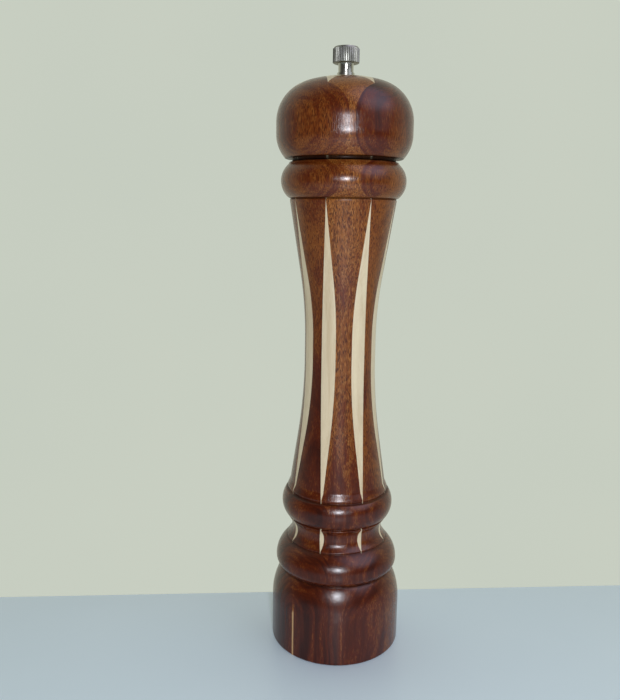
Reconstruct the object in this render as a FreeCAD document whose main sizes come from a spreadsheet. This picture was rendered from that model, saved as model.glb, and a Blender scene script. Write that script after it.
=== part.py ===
import FreeCAD, Part
import math
import os

import Sketcher

# Pepper mill, turned on a lathe from one glued-up blank and parted into a body and a head.
# Millimetres, +Z up. The origin is the centre of the ring that the mill stands on.
#
# The blank is a light star-shaped core with eight dark square rods in its eight valleys and
# eight dark outer staves over them, so every turned surface shows where it cuts the strips.
# A square shaft runs up the bore. Its threaded top carries the knob that holds the head on
# and lifts the rotor into the stator, and a spring under the bridge pushes the rotor down.

DOCUMENT = FreeCAD.newDocument("PepperMill")

SIZES = {
    # Body outline, from the foot up. Every *_z is a height above the foot.
    "base_radius": 35.4, "foot_round": 1.0, "base_side_z": 24.0, "shoulder_curve": 34.0,
    "shoulder_z": 41.0,
    "low_bead_radius": 33.3, "low_bead_start_z": 43.4, "low_bead_crest_z": 47.5,
    "low_bead_under_curve": 5.0, "low_bead_over_curve": 14.0, "low_bead_end_z": 58.3,
    "cove_radius": 24.7, "cove_start_z": 60.0, "cove_middle_z": 66.0, "cove_curve": 8.2,
    "cove_end_z": 71.8,
    "high_bead_radius": 30.2, "high_bead_start_z": 73.4, "high_bead_crest_z": 80.0,
    "high_bead_curve": 11.5, "high_bead_end_z": 86.4,
    "neck_start_z": 88.4, "neck_lip_radius": 27.3, "flare_end_z": 92.0,
    "waist_radius": 18.8, "lower_neck_curve": 283.0, "lower_curve_z": 118.0,
    "waist_start_z": 160.0, "waist_end_z": 171.0, "upper_neck_curve": 209.0,
    "upper_curve_z": 204.0, "neck_end_z": 241.8,
    "collar_radius": 32.0, "collar_start_z": 243.0, "collar_crest_z": 251.2,
    "collar_curve": 11.0, "collar_end_z": 259.4, "body_top_z": 260.4,
    "groove_depth": 0.9, "cove_groove_depth": 0.3, "neck_groove_depth": 0.45,
    "collar_groove_depth": 0.55, "edge_ease": 0.6,
    # Head outline.
    "head_gap": 0.5, "head_radius": 34.55, "head_under_curve": 17.0, "head_under_height": 13.0,
    "head_side_height": 6.0, "head_over_curve": 20.0, "dome_curve": 70.0,
    "recess_height": 1.3, "recess_depth": 3.6,
    # Bores.
    "bore_radius": 12.5, "barrel_gap": 0.4, "seat_top_z": 35.5, "mouth_gap": 0.5,
    "mouth_depth": 9.5, "tenon_gap": 0.3, "tenon_length": 11.0, "head_bore_gap": 0.35,
    "stud_hole_gap": 0.4, "stud_hole_length": 11.0,
    # Glued-up strips.
    "core_web": 1.7, "rod_plane": 11.0, "panel_rod_reach": 35.9, "corner_rod_plane": 25.4,
    "saw_allowance": 1.0,
    # Shaft, knob and washer.
    "shaft_side": 6.0, "shaft_end_z": 7.0, "stud_radius": 2.5, "stud_run_out": 1.0,
    "slide_gap": 0.05,
    "washer_radius": 4.4, "washer_height": 1.8, "seat_margin": 0.3,
    "knob_neck_radius": 3.8, "knob_neck_height": 4.6,
    "knob_radius": 6.65, "knurl_height": 7.1, "knurl_depth": 0.25, "knob_cap_height": 0.5,
    "knob_cap_radius": 6.0, "knob_bore_depth": 10.6, "stud_end_gap": 0.6,
    # Grinding set.
    "flange_width": 5.4, "flange_height": 1.6, "stator_radius": 18.6, "stator_height": 13.1,
    "stator_wall": 3.0, "stator_taper": 4.2, "tooth_depth": 0.9, "grind_gap": 0.4,
    "rotor_lift": 1.1, "rotor_land": 3.5, "rotor_height": 10.5, "rotor_top_margin": 2.7,
    "clip_margin": 1.4, "clip_height": 1.2, "cutter_overrun": 1.0,
    # Bridge, thrust washer and spring.
    "bridge_end_gap": 0.8, "bridge_side_wall": 1.4, "bridge_height": 1.5,
    "bridge_hole_gap": 0.35, "thrust_margin": 1.2, "thrust_height": 1.2, "spring_gap": 0.55,
    "spring_wire": 0.5, "spring_turns": 5.0,
    # Drive plate under the head.
    "plate_gap": 0.9, "plate_height": 1.2,
    # Screws.
    "screw_radius": 1.25, "screw_head_radius": 2.1, "screw_head_height": 1.5,
    "screw_length": 8.0, "screw_slot": 0.6, "pilot_gap": 0.05, "pilot_run_out": 0.6,
}

STAR_POINTS = 8
STATOR_TEETH = 28
ROTOR_TEETH = 18
KNURL_TEETH = 40
TOOTH_TWIST = 14.0
STATOR_SCREWS = 3
STATOR_SCREW_ANGLE = 90.0
PAIR = 2
PAIR_ANGLE = 0.0
QUARTER_TURN = 90.0
FULL_TURN = 360.0


class Size(float):
    """A length in millimetres that carries the spreadsheet formula it comes from."""

    def __new__(cls, value, formula=None):
        made = float.__new__(cls, value)
        made.formula = formula or "{:.9g}".format(float(value))
        return made

    def join(self, other, sign, value):
        return Size(value, "({} {} {})".format(self.formula, sign, size_of(other).formula))

    def __add__(self, other):
        return self.join(other, "+", float(self) + float(other))

    def __sub__(self, other):
        return self.join(other, "-", float(self) - float(other))

    def __mul__(self, other):
        return self.join(other, "*", float(self) * float(other))

    def __truediv__(self, other):
        return self.join(other, "/", float(self) / float(other))

    def __radd__(self, other):
        return size_of(other) + self

    def __rsub__(self, other):
        return size_of(other) - self

    def __rmul__(self, other):
        return size_of(other) * self

    def __neg__(self):
        return Size(-float(self), "(0 - {})".format(self.formula))


def size_of(value):
    return value if isinstance(value, Size) else Size(value)


def root(size):
    return Size(math.sqrt(size), "sqrt({})".format(size.formula))


def make_sheet():
    """Put every driving size in the spreadsheet and return them by name."""
    sheet = DOCUMENT.addObject("Spreadsheet::Sheet", "Sizes")
    for row, (name, value) in enumerate(SIZES.items(), start=1):
        sheet.set("A{}".format(row), name)
        sheet.set("B{}".format(row), "{:g}".format(value))
        sheet.setAlias("B{}".format(row), name)
    DOCUMENT.recompute()
    return {name: Size(sheet.get(name), "Sizes.{}".format(name)) for name in SIZES}


S = make_sheet()


def bind(feature, path, size):
    """Tie one property of a feature to the spreadsheet."""
    feature.setExpression(path, size_of(size).formula)


def add(kind, name, **sizes):
    """Make a Part primitive with its sizes tied to the spreadsheet."""
    feature = DOCUMENT.addObject(kind, name)
    feature.Label = name
    for path, size in sizes.items():
        bind(feature, path, size)
    return feature


def place(feature, x=0.0, y=0.0, z=0.0, turn=0.0, axis=FreeCAD.Vector(0, 0, 1)):
    """Put a feature at x, y, z, turned by an angle in degrees, with x, y and z tied."""
    feature.Placement = FreeCAD.Placement(FreeCAD.Vector(x, y, z), FreeCAD.Rotation(axis, turn))
    for letter, size in (("x", x), ("y", y), ("z", z)):
        if isinstance(size, Size):
            bind(feature, "Placement.Base.{}".format(letter), size)
    return feature


def join(kind, name, base, tool):
    """Cut, fuse or intersect two features."""
    feature = DOCUMENT.addObject(kind, name)
    feature.Label = name
    feature.Base = base
    feature.Tool = tool
    return feature


def group(name, features):
    """Keep several separate solids together as one sub-part."""
    feature = DOCUMENT.addObject("Part::Compound", name)
    feature.Label = name
    feature.Links = features
    return feature


class Outline:
    """A closed sketch of straight and round stretches whose corners are all tied to sizes."""

    def __init__(self, body, name, plane_role):
        self.sketch = body.newObject("Sketcher::SketchObject", name)
        planes = [item for item in body.Origin.OriginFeatures if item.Role == plane_role]
        self.sketch.AttachmentSupport = [(planes[0], "")]
        self.sketch.MapMode = "FlatFace"
        self.corners = []
        self.curves = []

    def to(self, x, y, curve=None, bulge=1):
        """Add a corner. The stretch that ends there is straight, or an arc of radius curve.

        bulge is 1 when the arc's centre lies to the left of the way there, and -1 when it
        lies to the right.
        """
        self.corners.append((size_of(x), size_of(y)))
        self.curves.append((curve, bulge))
        return self

    def arc(self, start, end, curve, bulge):
        """Make the shorter arc of a given radius from one corner to the next.

        A sketch's arcs run counter-clockwise, so one with its centre on the right of the way
        is drawn from its far corner.
        """
        chord = end.sub(start)
        left = FreeCAD.Vector(-chord.y, chord.x, 0).normalize() * bulge
        middle = (start + end) * 0.5
        centre = middle + left * math.sqrt(curve ** 2 - (chord.Length / 2) ** 2)
        crown = centre + (middle - centre).normalize() * float(curve)
        return Part.Arc(start, crown, end) if bulge > 0 else Part.Arc(end, crown, start)

    def close(self):
        """Draw the stretches, join them end to end and tie them."""
        points = [FreeCAD.Vector(x, y, 0) for x, y in self.corners]
        count = len(points)
        for index in range(count):
            following = (index + 1) % count
            curve, bulge = self.curves[following]
            if curve is None:
                self.sketch.addGeometry(Part.LineSegment(points[index], points[following]))
            else:
                self.sketch.addGeometry(
                    self.arc(points[index], points[following], curve, bulge))
        backward = {index for index in range(count) if self.curves[(index + 1) % count][1] < 0}
        for index in range(count):
            following = (index + 1) % count
            end = 1 if index in backward else 2
            start = 2 if following in backward else 1
            self.sketch.addConstraint(
                Sketcher.Constraint("Coincident", index, end, following, start))
        for index, (x, y) in enumerate(self.corners):
            start = 2 if index in backward else 1
            self.hold_corner(index, start, x, y)
            curve = self.curves[(index + 1) % count][0]
            if curve is not None:
                held = self.sketch.addConstraint(
                    Sketcher.Constraint("Radius", index, float(curve)))
                bind(self.sketch, "Constraints[{}]".format(held), curve)
        return self.sketch

    def hold_corner(self, index, point, x, y):
        """Hold the corner where a stretch starts at its place from the origin."""
        for kind, size, axis in (("DistanceX", x, -2), ("DistanceY", y, -1)):
            if float(size) == 0.0:
                self.sketch.addConstraint(
                    Sketcher.Constraint("PointOnObject", index, point, axis))
                continue
            held = self.sketch.addConstraint(
                Sketcher.Constraint(kind, -1, 1, index, point, float(size)))
            bind(self.sketch, "Constraints[{}]".format(held), size)


def ring_places(circle, count, first_angle):
    """The x and y of evenly spaced points on a circle round the mill's axis."""
    angles = [math.radians(first_angle + FULL_TURN * index / count) for index in range(count)]
    return [(circle * math.cos(angle), circle * math.sin(angle)) for angle in angles]


def new_body(name):
    body = DOCUMENT.addObject("PartDesign::Body", name)
    body.Label = name
    return body


def revolve(body, sketch):
    """Turn an outline drawn in the XZ plane once round the mill's axis."""
    turned = body.newObject("PartDesign::Revolution", body.Name + "_turning")
    turned.Profile = sketch
    turned.ReferenceAxis = (sketch, ["V_Axis"])
    turned.Angle = FULL_TURN
    return turned


def drill(body, name, circle, count, first_angle, radius, top_z):
    """Drill a ring of holes upwards from the foot's plane to top_z."""
    sketch = body.newObject("Sketcher::SketchObject", name + "_circles")
    planes = [item for item in body.Origin.OriginFeatures if item.Role == "XY_Plane"]
    sketch.AttachmentSupport = [(planes[0], "")]
    sketch.MapMode = "FlatFace"
    for index, (x, y) in enumerate(ring_places(circle, count, first_angle)):
        sketch.addGeometry(Part.Circle(
            FreeCAD.Vector(x, y, 0), FreeCAD.Vector(0, 0, 1), float(radius)))
        held = sketch.addConstraint(Sketcher.Constraint("Radius", index, float(radius)))
        bind(sketch, "Constraints[{}]".format(held), radius)
        for kind, size in (("DistanceX", x), ("DistanceY", y)):
            held = sketch.addConstraint(
                Sketcher.Constraint(kind, -1, 1, index, 3, float(size)))
            bind(sketch, "Constraints[{}]".format(held), size)
    holes = body.newObject("PartDesign::Pocket", name)
    holes.Profile = sketch
    holes.Reversed = True
    bind(holes, "Length", top_z)
    return holes


# Places worked out from the driving sizes.

def over(curve, rise):
    """How far an arc drops away from its crest at a given distance along the axis."""
    return curve - root(curve * curve - rise * rise)


SHOULDER_END = S["base_radius"] - over(S["shoulder_curve"], S["shoulder_z"] - S["base_side_z"])
NECK_LOW = S["waist_radius"] + over(
    S["lower_neck_curve"], S["waist_start_z"] - S["lower_curve_z"])
NECK_HIGH = S["waist_radius"] + over(
    S["upper_neck_curve"], S["upper_curve_z"] - S["waist_end_z"])


def neck_slope(curve, rise):
    """The slope of the neck where its round stretch ends and its straight one begins."""
    return rise / root(curve * curve - rise * rise)


LOW_SLOPE = neck_slope(S["lower_neck_curve"], S["waist_start_z"] - S["lower_curve_z"])
HIGH_SLOPE = neck_slope(S["upper_neck_curve"], S["upper_curve_z"] - S["waist_end_z"])
FLARE_END = NECK_LOW + LOW_SLOPE * (S["lower_curve_z"] - S["flare_end_z"])
NECK_END = NECK_HIGH + HIGH_SLOPE * (S["neck_end_z"] - S["upper_curve_z"])
HEAD_Z = S["body_top_z"] + S["head_gap"]
TENON_Z = HEAD_Z - S["tenon_length"]
TENON_RADIUS = S["bore_radius"] - S["tenon_gap"]
HEAD_LOW_Z = HEAD_Z + S["head_under_height"]
HEAD_HIGH_Z = HEAD_LOW_Z + S["head_side_height"]
HEAD_LIP_Z = HEAD_Z + S["recess_height"]
HEAD_LIP = S["head_radius"] - over(
    S["head_under_curve"], S["head_under_height"] - S["recess_height"])
OVER_CENTRE = S["head_radius"] - S["head_over_curve"]
DOME_ARM = S["dome_curve"] - S["head_over_curve"]
DOME_CENTRE_Z = HEAD_HIGH_Z - root(DOME_ARM * DOME_ARM - OVER_CENTRE * OVER_CENTRE)
DOME_MEET = OVER_CENTRE * S["dome_curve"] / DOME_ARM
DOME_MEET_Z = DOME_CENTRE_Z + root(
    S["dome_curve"] * S["dome_curve"] - DOME_MEET * DOME_MEET)
SEAT_RADIUS = S["washer_radius"] + S["seat_margin"]
HEAD_TOP_Z = DOME_CENTRE_Z + root(
    S["dome_curve"] * S["dome_curve"] - SEAT_RADIUS * SEAT_RADIUS)
SHAFT_CORNER = S["shaft_side"] * root(Size(0.5))
HEAD_BORE = SHAFT_CORNER + S["head_bore_gap"]
STUD_HOLE = S["stud_radius"] + S["stud_hole_gap"]
STUD_HOLE_Z = HEAD_TOP_Z - S["stud_hole_length"]
STUD_START_Z = STUD_HOLE_Z - S["stud_run_out"]
KNOB_Z = HEAD_TOP_Z + S["washer_height"]
KNURL_Z = KNOB_Z + S["knob_neck_height"]
KNOB_BORE_Z = KNOB_Z + S["knob_bore_depth"]
STUD_END_Z = KNOB_BORE_Z - S["stud_end_gap"]
FLANGE_Z = S["mouth_depth"] - S["flange_height"]
ROTOR_Z = FLANGE_Z + S["rotor_lift"]
ROTOR_TOP_Z = ROTOR_Z + S["rotor_height"]
CLIP_Z = ROTOR_Z - S["clip_height"]
BRIDGE_Z = S["seat_top_z"] - S["bridge_height"]
THRUST_Z = BRIDGE_Z - S["thrust_height"]
PLATE_Z = TENON_Z - S["plate_height"]
BARREL_BORE = S["stator_radius"] + S["barrel_gap"]
FLANGE_RADIUS = S["stator_radius"] + S["flange_width"]
MOUTH_RADIUS = FLANGE_RADIUS + S["mouth_gap"]
STATOR_CIRCLE = (BARREL_BORE + FLANGE_RADIUS) * 0.5
BRIDGE_CIRCLE = (S["bore_radius"] + BARREL_BORE) * 0.5
BRIDGE_LENGTH = (BARREL_BORE - S["bridge_end_gap"]) * 2.0
BRIDGE_HOLE = SHAFT_CORNER + S["bridge_hole_gap"]
BRIDGE_WIDTH = (BRIDGE_HOLE + S["bridge_side_wall"]) * 2.0
PLATE_RADIUS = S["bore_radius"] - S["plate_gap"]
PLATE_CIRCLE = (HEAD_BORE + PLATE_RADIUS) * 0.5
SPRING_RADIUS = SHAFT_CORNER + S["spring_gap"] + S["spring_wire"]
SPRING_REACH = SPRING_RADIUS + S["spring_wire"]
STATOR_MOUTH = S["stator_radius"] - S["stator_wall"]
PILOT_RADIUS = S["screw_radius"] + S["pilot_gap"]
PILOT_LENGTH = S["screw_length"] + S["pilot_run_out"]
BLANK_REACH = (S["base_radius"] + S["head_radius"] + S["collar_radius"]) * 0.5


def body_blank():
    """The turned and bored body, before it is told apart into its glued strips."""
    body = new_body("body_blank")
    depth = S["groove_depth"]
    ease = S["edge_ease"]
    under_rise = S["low_bead_crest_z"] - S["low_bead_start_z"]
    over_rise = S["low_bead_end_z"] - S["low_bead_crest_z"]
    cove_low = S["cove_radius"] + over(S["cove_curve"], S["cove_middle_z"] - S["cove_start_z"])
    cove_high = S["cove_radius"] + over(S["cove_curve"], S["cove_end_z"] - S["cove_middle_z"])
    high_under = S["high_bead_radius"] - over(
        S["high_bead_curve"], S["high_bead_crest_z"] - S["high_bead_start_z"])
    high_over = S["high_bead_radius"] - over(
        S["high_bead_curve"], S["high_bead_end_z"] - S["high_bead_crest_z"])
    collar_under = S["collar_radius"] - over(
        S["collar_curve"], S["collar_crest_z"] - S["collar_start_z"])
    collar_over = S["collar_radius"] - over(
        S["collar_curve"], S["collar_end_z"] - S["collar_crest_z"])
    outline = Outline(body, "body_outline", "XZ_Plane")
    outline.to(MOUTH_RADIUS, 0.0)
    outline.to(S["base_radius"] - S["foot_round"], 0.0)
    outline.to(S["base_radius"], S["foot_round"], S["foot_round"])
    outline.to(S["base_radius"], S["base_side_z"])
    outline.to(SHOULDER_END, S["shoulder_z"], S["shoulder_curve"])
    outline.to(SHOULDER_END - depth, (S["shoulder_z"] + S["low_bead_start_z"]) * 0.5)
    outline.to(S["low_bead_radius"] - over(S["low_bead_under_curve"], under_rise),
               S["low_bead_start_z"])
    outline.to(S["low_bead_radius"], S["low_bead_crest_z"], S["low_bead_under_curve"])
    outline.to(S["low_bead_radius"] - over(S["low_bead_over_curve"], over_rise),
               S["low_bead_end_z"], S["low_bead_over_curve"])
    outline.to(cove_low - S["cove_groove_depth"],
               (S["low_bead_end_z"] + S["cove_start_z"]) * 0.5)
    outline.to(cove_low, S["cove_start_z"])
    outline.to(S["cove_radius"], S["cove_middle_z"], S["cove_curve"], -1)
    outline.to(cove_high, S["cove_end_z"], S["cove_curve"], -1)
    outline.to(cove_high - depth, (S["cove_end_z"] + S["high_bead_start_z"]) * 0.5)
    outline.to(high_under, S["high_bead_start_z"])
    outline.to(high_over, S["high_bead_end_z"], S["high_bead_curve"])
    outline.to(S["neck_lip_radius"] - S["neck_groove_depth"], S["high_bead_end_z"] + ease)
    outline.to(S["neck_lip_radius"], S["neck_start_z"])
    outline.to(FLARE_END, S["flare_end_z"])
    outline.to(NECK_LOW, S["lower_curve_z"])
    outline.to(S["waist_radius"], S["waist_start_z"], S["lower_neck_curve"], -1)
    outline.to(S["waist_radius"], S["waist_end_z"])
    outline.to(NECK_HIGH, S["upper_curve_z"], S["upper_neck_curve"], -1)
    outline.to(NECK_END, S["neck_end_z"])
    outline.to(NECK_END - S["collar_groove_depth"],
               (S["neck_end_z"] + S["collar_start_z"]) * 0.5)
    outline.to(collar_under, S["collar_start_z"])
    outline.to(collar_over, S["collar_end_z"], S["collar_curve"])
    outline.to(collar_over - ease, S["body_top_z"])
    outline.to(S["bore_radius"], S["body_top_z"])
    outline.to(S["bore_radius"], S["seat_top_z"])
    outline.to(BARREL_BORE, S["seat_top_z"])
    outline.to(BARREL_BORE, S["mouth_depth"])
    outline.to(MOUTH_RADIUS, S["mouth_depth"])
    revolve(body, outline.close())
    drill(body, "stator_pilot_holes", STATOR_CIRCLE, STATOR_SCREWS,
          STATOR_SCREW_ANGLE, PILOT_RADIUS, FLANGE_Z + PILOT_LENGTH)
    drill(body, "bridge_pilot_holes", BRIDGE_CIRCLE, PAIR, PAIR_ANGLE,
          PILOT_RADIUS, BRIDGE_Z + PILOT_LENGTH)
    return body


def head_blank():
    """The turned and bored head with the tenon that turns in the body's bore."""
    body = new_body("head_blank")
    ease = S["edge_ease"]
    outline = Outline(body, "head_outline", "XZ_Plane")
    outline.to(HEAD_BORE, TENON_Z)
    outline.to(TENON_RADIUS - ease, TENON_Z)
    outline.to(TENON_RADIUS, TENON_Z + ease)
    outline.to(TENON_RADIUS, HEAD_Z)
    outline.to(HEAD_LIP - S["recess_depth"], HEAD_Z)
    outline.to(HEAD_LIP - S["recess_depth"], HEAD_LIP_Z)
    outline.to(HEAD_LIP, HEAD_LIP_Z)
    outline.to(S["head_radius"], HEAD_LOW_Z, S["head_under_curve"])
    outline.to(S["head_radius"], HEAD_HIGH_Z)
    outline.to(DOME_MEET, DOME_MEET_Z, S["head_over_curve"])
    outline.to(SEAT_RADIUS, HEAD_TOP_Z, S["dome_curve"])
    outline.to(STUD_HOLE, HEAD_TOP_Z)
    outline.to(STUD_HOLE, STUD_HOLE_Z)
    outline.to(HEAD_BORE, STUD_HOLE_Z)
    revolve(body, outline.close())
    drill(body, "plate_pilot_holes", PLATE_CIRCLE, PAIR, PAIR_ANGLE,
          PILOT_RADIUS, PLATE_Z + PILOT_LENGTH)
    return body


def strip(name, corners, turn):
    """One full-length strip of the glued-up blank, with its section given by its corners.

    The corners are drawn for the strip that faces -Y and the strip is then turned.
    """
    body = new_body(name)
    outline = Outline(body, name + "_section", "XY_Plane")
    for x, y in corners:
        outline.to(x, y)
    pad = body.newObject("PartDesign::Pad", name + "_length")
    pad.Profile = outline.close()
    bind(pad, "Length", HEAD_TOP_Z + S["saw_allowance"])
    return place(body, turn=turn)


PANEL_APEX = S["bore_radius"] + S["core_web"]
PANEL_SIDE = PANEL_APEX + S["rod_plane"]


def core_strip():
    """The light core: an eight-pointed star with a square valley for every rod."""
    corners = []
    plane = S["rod_plane"]
    for quarter in range(4):
        for x, y in ((Size(0.0), -PANEL_APEX), (plane, -PANEL_SIDE), (plane, -plane),
                     (PANEL_SIDE, -plane)):
            for _ in range(quarter):
                x, y = -y, x
            corners.append((x, y))
    return strip("core_strip", corners, 0.0)


def panel_rod_strip(index):
    """A dark rod that stands on its corner, so that its valley is widest at the neck."""
    plane = S["rod_plane"]
    corners = [(Size(0.0), -S["panel_rod_reach"]), (plane, -PANEL_SIDE),
               (Size(0.0), -PANEL_APEX), (-plane, -PANEL_SIDE)]
    return strip("panel_rod_strip_{}".format(index), corners, QUARTER_TURN * (index - 1))


def corner_rod_strip(index):
    """A dark rod with its sides square to the panel rods' lines."""
    plane = S["rod_plane"]
    outer = S["corner_rod_plane"]
    corners = [(plane, -plane), (plane, -outer), (outer, -outer), (outer, -plane)]
    return strip("corner_rod_strip_{}".format(index), corners, QUARTER_TURN * (index - 1))


def outer_stave_strip(index):
    """A dark stave that covers half a panel rod and half a corner rod."""
    plane = S["rod_plane"]
    outer = S["corner_rod_plane"]
    corners = [(Size(0.0), -S["panel_rod_reach"]), (Size(0.0), -BLANK_REACH),
               (BLANK_REACH, -BLANK_REACH), (outer, -outer), (plane, -outer),
               (plane, -PANEL_SIDE)]
    if index % 2 == 0:
        corners = [(-x, y) for x, y in reversed(corners)]
    return strip("outer_stave_strip_{}".format(index), corners, QUARTER_TURN * (index // 2))


def lamination():
    """Every strip of the glued-up blank by the name that its turned pieces get."""
    strips = {"light_core": core_strip()}
    for index in range(1, STAR_POINTS // 2 + 1):
        strips["panel_rod_{}".format(index)] = panel_rod_strip(index)
        strips["corner_rod_{}".format(index)] = corner_rod_strip(index)
    for index in range(1, STAR_POINTS + 1):
        strips["outer_stave_{}".format(index)] = outer_stave_strip(index)
    return strips


def square_hole(name, gap, low_z, high_z):
    """A square bar to cut the shaft's hole with."""
    side = S["shaft_side"] + gap * 2.0
    bar = add("Part::Box", name, Length=side, Width=side, Height=high_z - low_z)
    return place(bar, -side * 0.5, -side * 0.5, low_z)


def disc(name, radius, height, z):
    return place(add("Part::Cylinder", name, Radius=radius, Height=height), z=z)


def drive_shaft():
    """A square bar with a round threaded top, modelled at the thread's outer size."""
    side = S["shaft_side"]
    bar = add("Part::Box", "shaft_bar", Length=side, Width=side,
              Height=STUD_START_Z - S["shaft_end_z"])
    place(bar, -side * 0.5, -side * 0.5, S["shaft_end_z"])
    stud = disc("shaft_stud", S["stud_radius"], STUD_END_Z - STUD_START_Z, STUD_START_Z)
    return join("Part::Fuse", "drive_shaft", bar, stud)


def washer(name, radius, height, hole, z):
    plate = disc(name + "_disc", radius, height, z)
    return join("Part::Cut", name, plate, disc(name + "_hole", hole, height, z))


def square_washer(name, radius, height, gap, z):
    plate = disc(name + "_disc", radius, height, z)
    return join("Part::Cut", name, plate, square_hole(name + "_hole", gap, z, z + height))


def hole_ring(name, circle, count, first_angle, height, z):
    """Cylinders to cut a ring of screw holes with."""
    places = ring_places(circle, count, first_angle)
    return [place(add("Part::Cylinder", "{}_{}".format(name, index), Radius=PILOT_RADIUS,
                      Height=height), x, y, z)
            for index, (x, y) in enumerate(places, start=1)]


def star_wire(teeth, outer, inner, z, turn):
    """A closed ring of straight-sided teeth."""
    points = []
    for index in range(2 * teeth):
        radius = float(outer if index % 2 == 0 else inner)
        angle = math.pi * index / teeth + math.radians(turn)
        points.append(FreeCAD.Vector(radius * math.cos(angle), radius * math.sin(angle), z))
    return Part.makePolygon(points + points[:1])


def toothed(name, teeth, levels, depth, twist):
    """A toothed solid through (height, tip radius) levels, twisted evenly along its height."""
    feature = DOCUMENT.addObject("Part::Feature", name)
    feature.Label = name
    low, high = float(levels[0][0]), float(levels[-1][0])
    wires = [star_wire(teeth, radius, radius - depth, float(z),
                       twist * (float(z) - low) / (high - low)) for z, radius in levels]
    feature.Shape = Part.makeLoft(wires, True, True)
    return feature


def stator_cone(z):
    """The radius at the stator's tooth tips at a height."""
    return STATOR_MOUTH - S["stator_taper"] / S["stator_height"] * (z - FLANGE_Z)


def stator():
    """The fixed ring, its flange screwed up against the step in the body's mouth."""
    flange = disc("stator_flange", FLANGE_RADIUS, S["flange_height"], FLANGE_Z)
    barrel = disc("stator_barrel", S["stator_radius"], S["stator_height"], FLANGE_Z)
    ring = join("Part::Fuse", "stator_ring", flange, barrel)
    past = S["cutter_overrun"]
    low, high = FLANGE_Z - past, FLANGE_Z + S["stator_height"] + past
    levels = [(low, stator_cone(low) + S["tooth_depth"]),
              (high, stator_cone(high) + S["tooth_depth"])]
    cavity = toothed("stator_cavity", STATOR_TEETH, levels, S["tooth_depth"], TOOTH_TWIST)
    cut = join("Part::Cut", "stator_cone", ring, cavity)
    holes = hole_ring("stator_hole", STATOR_CIRCLE, STATOR_SCREWS,
                      STATOR_SCREW_ANGLE, S["flange_height"], FLANGE_Z)
    return join("Part::Cut", "stator", cut, group("stator_holes", holes))


def rotor():
    """The turning cone: a land that grinds finely and a steeper feed cone above it."""
    land_z = ROTOR_Z + S["rotor_land"]
    levels = [(ROTOR_Z, stator_cone(ROTOR_Z) - S["grind_gap"]),
              (land_z, stator_cone(land_z) - S["grind_gap"]),
              (ROTOR_TOP_Z, SPRING_REACH + S["rotor_top_margin"])]
    cone = toothed("rotor_cone", ROTOR_TEETH, levels, S["tooth_depth"], -TOOTH_TWIST)
    return join("Part::Cut", "rotor", cone,
                square_hole("rotor_hole", S["slide_gap"], ROTOR_Z, ROTOR_TOP_Z))


def bridge_bar():
    """The flat bar across the body's bore that the shaft turns in."""
    length, width, height = BRIDGE_LENGTH, BRIDGE_WIDTH, S["bridge_height"]
    bar = add("Part::Box", "bridge_strip", Length=length, Width=width, Height=height)
    place(bar, -length * 0.5, -width * 0.5, BRIDGE_Z)
    rounded = join("Part::Common", "bridge_rounded", bar,
                   disc("bridge_end_circle", length * 0.5, height, BRIDGE_Z))
    holes = hole_ring("bridge_hole", BRIDGE_CIRCLE, PAIR, PAIR_ANGLE, height,
                      BRIDGE_Z)
    holes.append(disc("bridge_bearing_hole", BRIDGE_HOLE, height, BRIDGE_Z))
    return join("Part::Cut", "bridge_bar", rounded, group("bridge_holes", holes))


def drive_plate():
    """The plate under the head that turns the square shaft."""
    plate = square_washer("drive_plate_blank", PLATE_RADIUS, S["plate_height"],
                          S["slide_gap"], PLATE_Z)
    holes = hole_ring("drive_plate_hole", PLATE_CIRCLE, PAIR, PAIR_ANGLE,
                      S["plate_height"], PLATE_Z)
    return join("Part::Cut", "drive_plate", plate, group("drive_plate_holes", holes))


def screws(name, circle, count, first_angle, seat_z):
    """A ring of slotted pan-head screws driven upwards, their heads under seat_z."""
    head_z = seat_z - S["screw_head_height"]
    made = []
    for index, (x, y) in enumerate(ring_places(circle, count, first_angle), start=1):
        label = "{}_{}".format(name, index)
        head = place(add("Part::Cylinder", label + "_head", Radius=S["screw_head_radius"],
                         Height=S["screw_head_height"]), x, y, head_z)
        shank = place(add("Part::Cylinder", label + "_shank", Radius=S["screw_radius"],
                          Height=S["screw_length"]), x, y, seat_z)
        slot = add("Part::Box", label + "_slot", Length=S["screw_head_radius"] * 2.0,
                   Width=S["screw_slot"], Height=S["screw_slot"])
        place(slot, x - S["screw_head_radius"], y - S["screw_slot"] * 0.5, head_z)
        whole = join("Part::Fuse", label + "_whole", head, shank)
        made.append(join("Part::Cut", label, whole, slot))
    return group(name, made)


def spring():
    """The coil between the thrust washer and the rotor."""
    margin = S["spring_wire"] + S["slide_gap"]
    height = THRUST_Z - ROTOR_TOP_Z - margin * 2.0
    coil = add("Part::Helix", "spring_coil", Pitch=height / S["spring_turns"], Height=height,
               Radius=SPRING_RADIUS)
    place(coil, z=ROTOR_TOP_Z + margin)
    wire = add("Part::Circle", "spring_section", Radius=S["spring_wire"])
    place(wire, SPRING_RADIUS, 0.0, ROTOR_TOP_Z + margin, QUARTER_TURN,
          FreeCAD.Vector(1, 0, 0))
    DOCUMENT.recompute()
    sweep = DOCUMENT.addObject("Part::Sweep", "spring")
    sweep.Label = "spring"
    sweep.Sections = [wire]
    sweep.Spine = (coil, [])
    sweep.Solid = True
    sweep.Frenet = True
    return sweep


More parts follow.
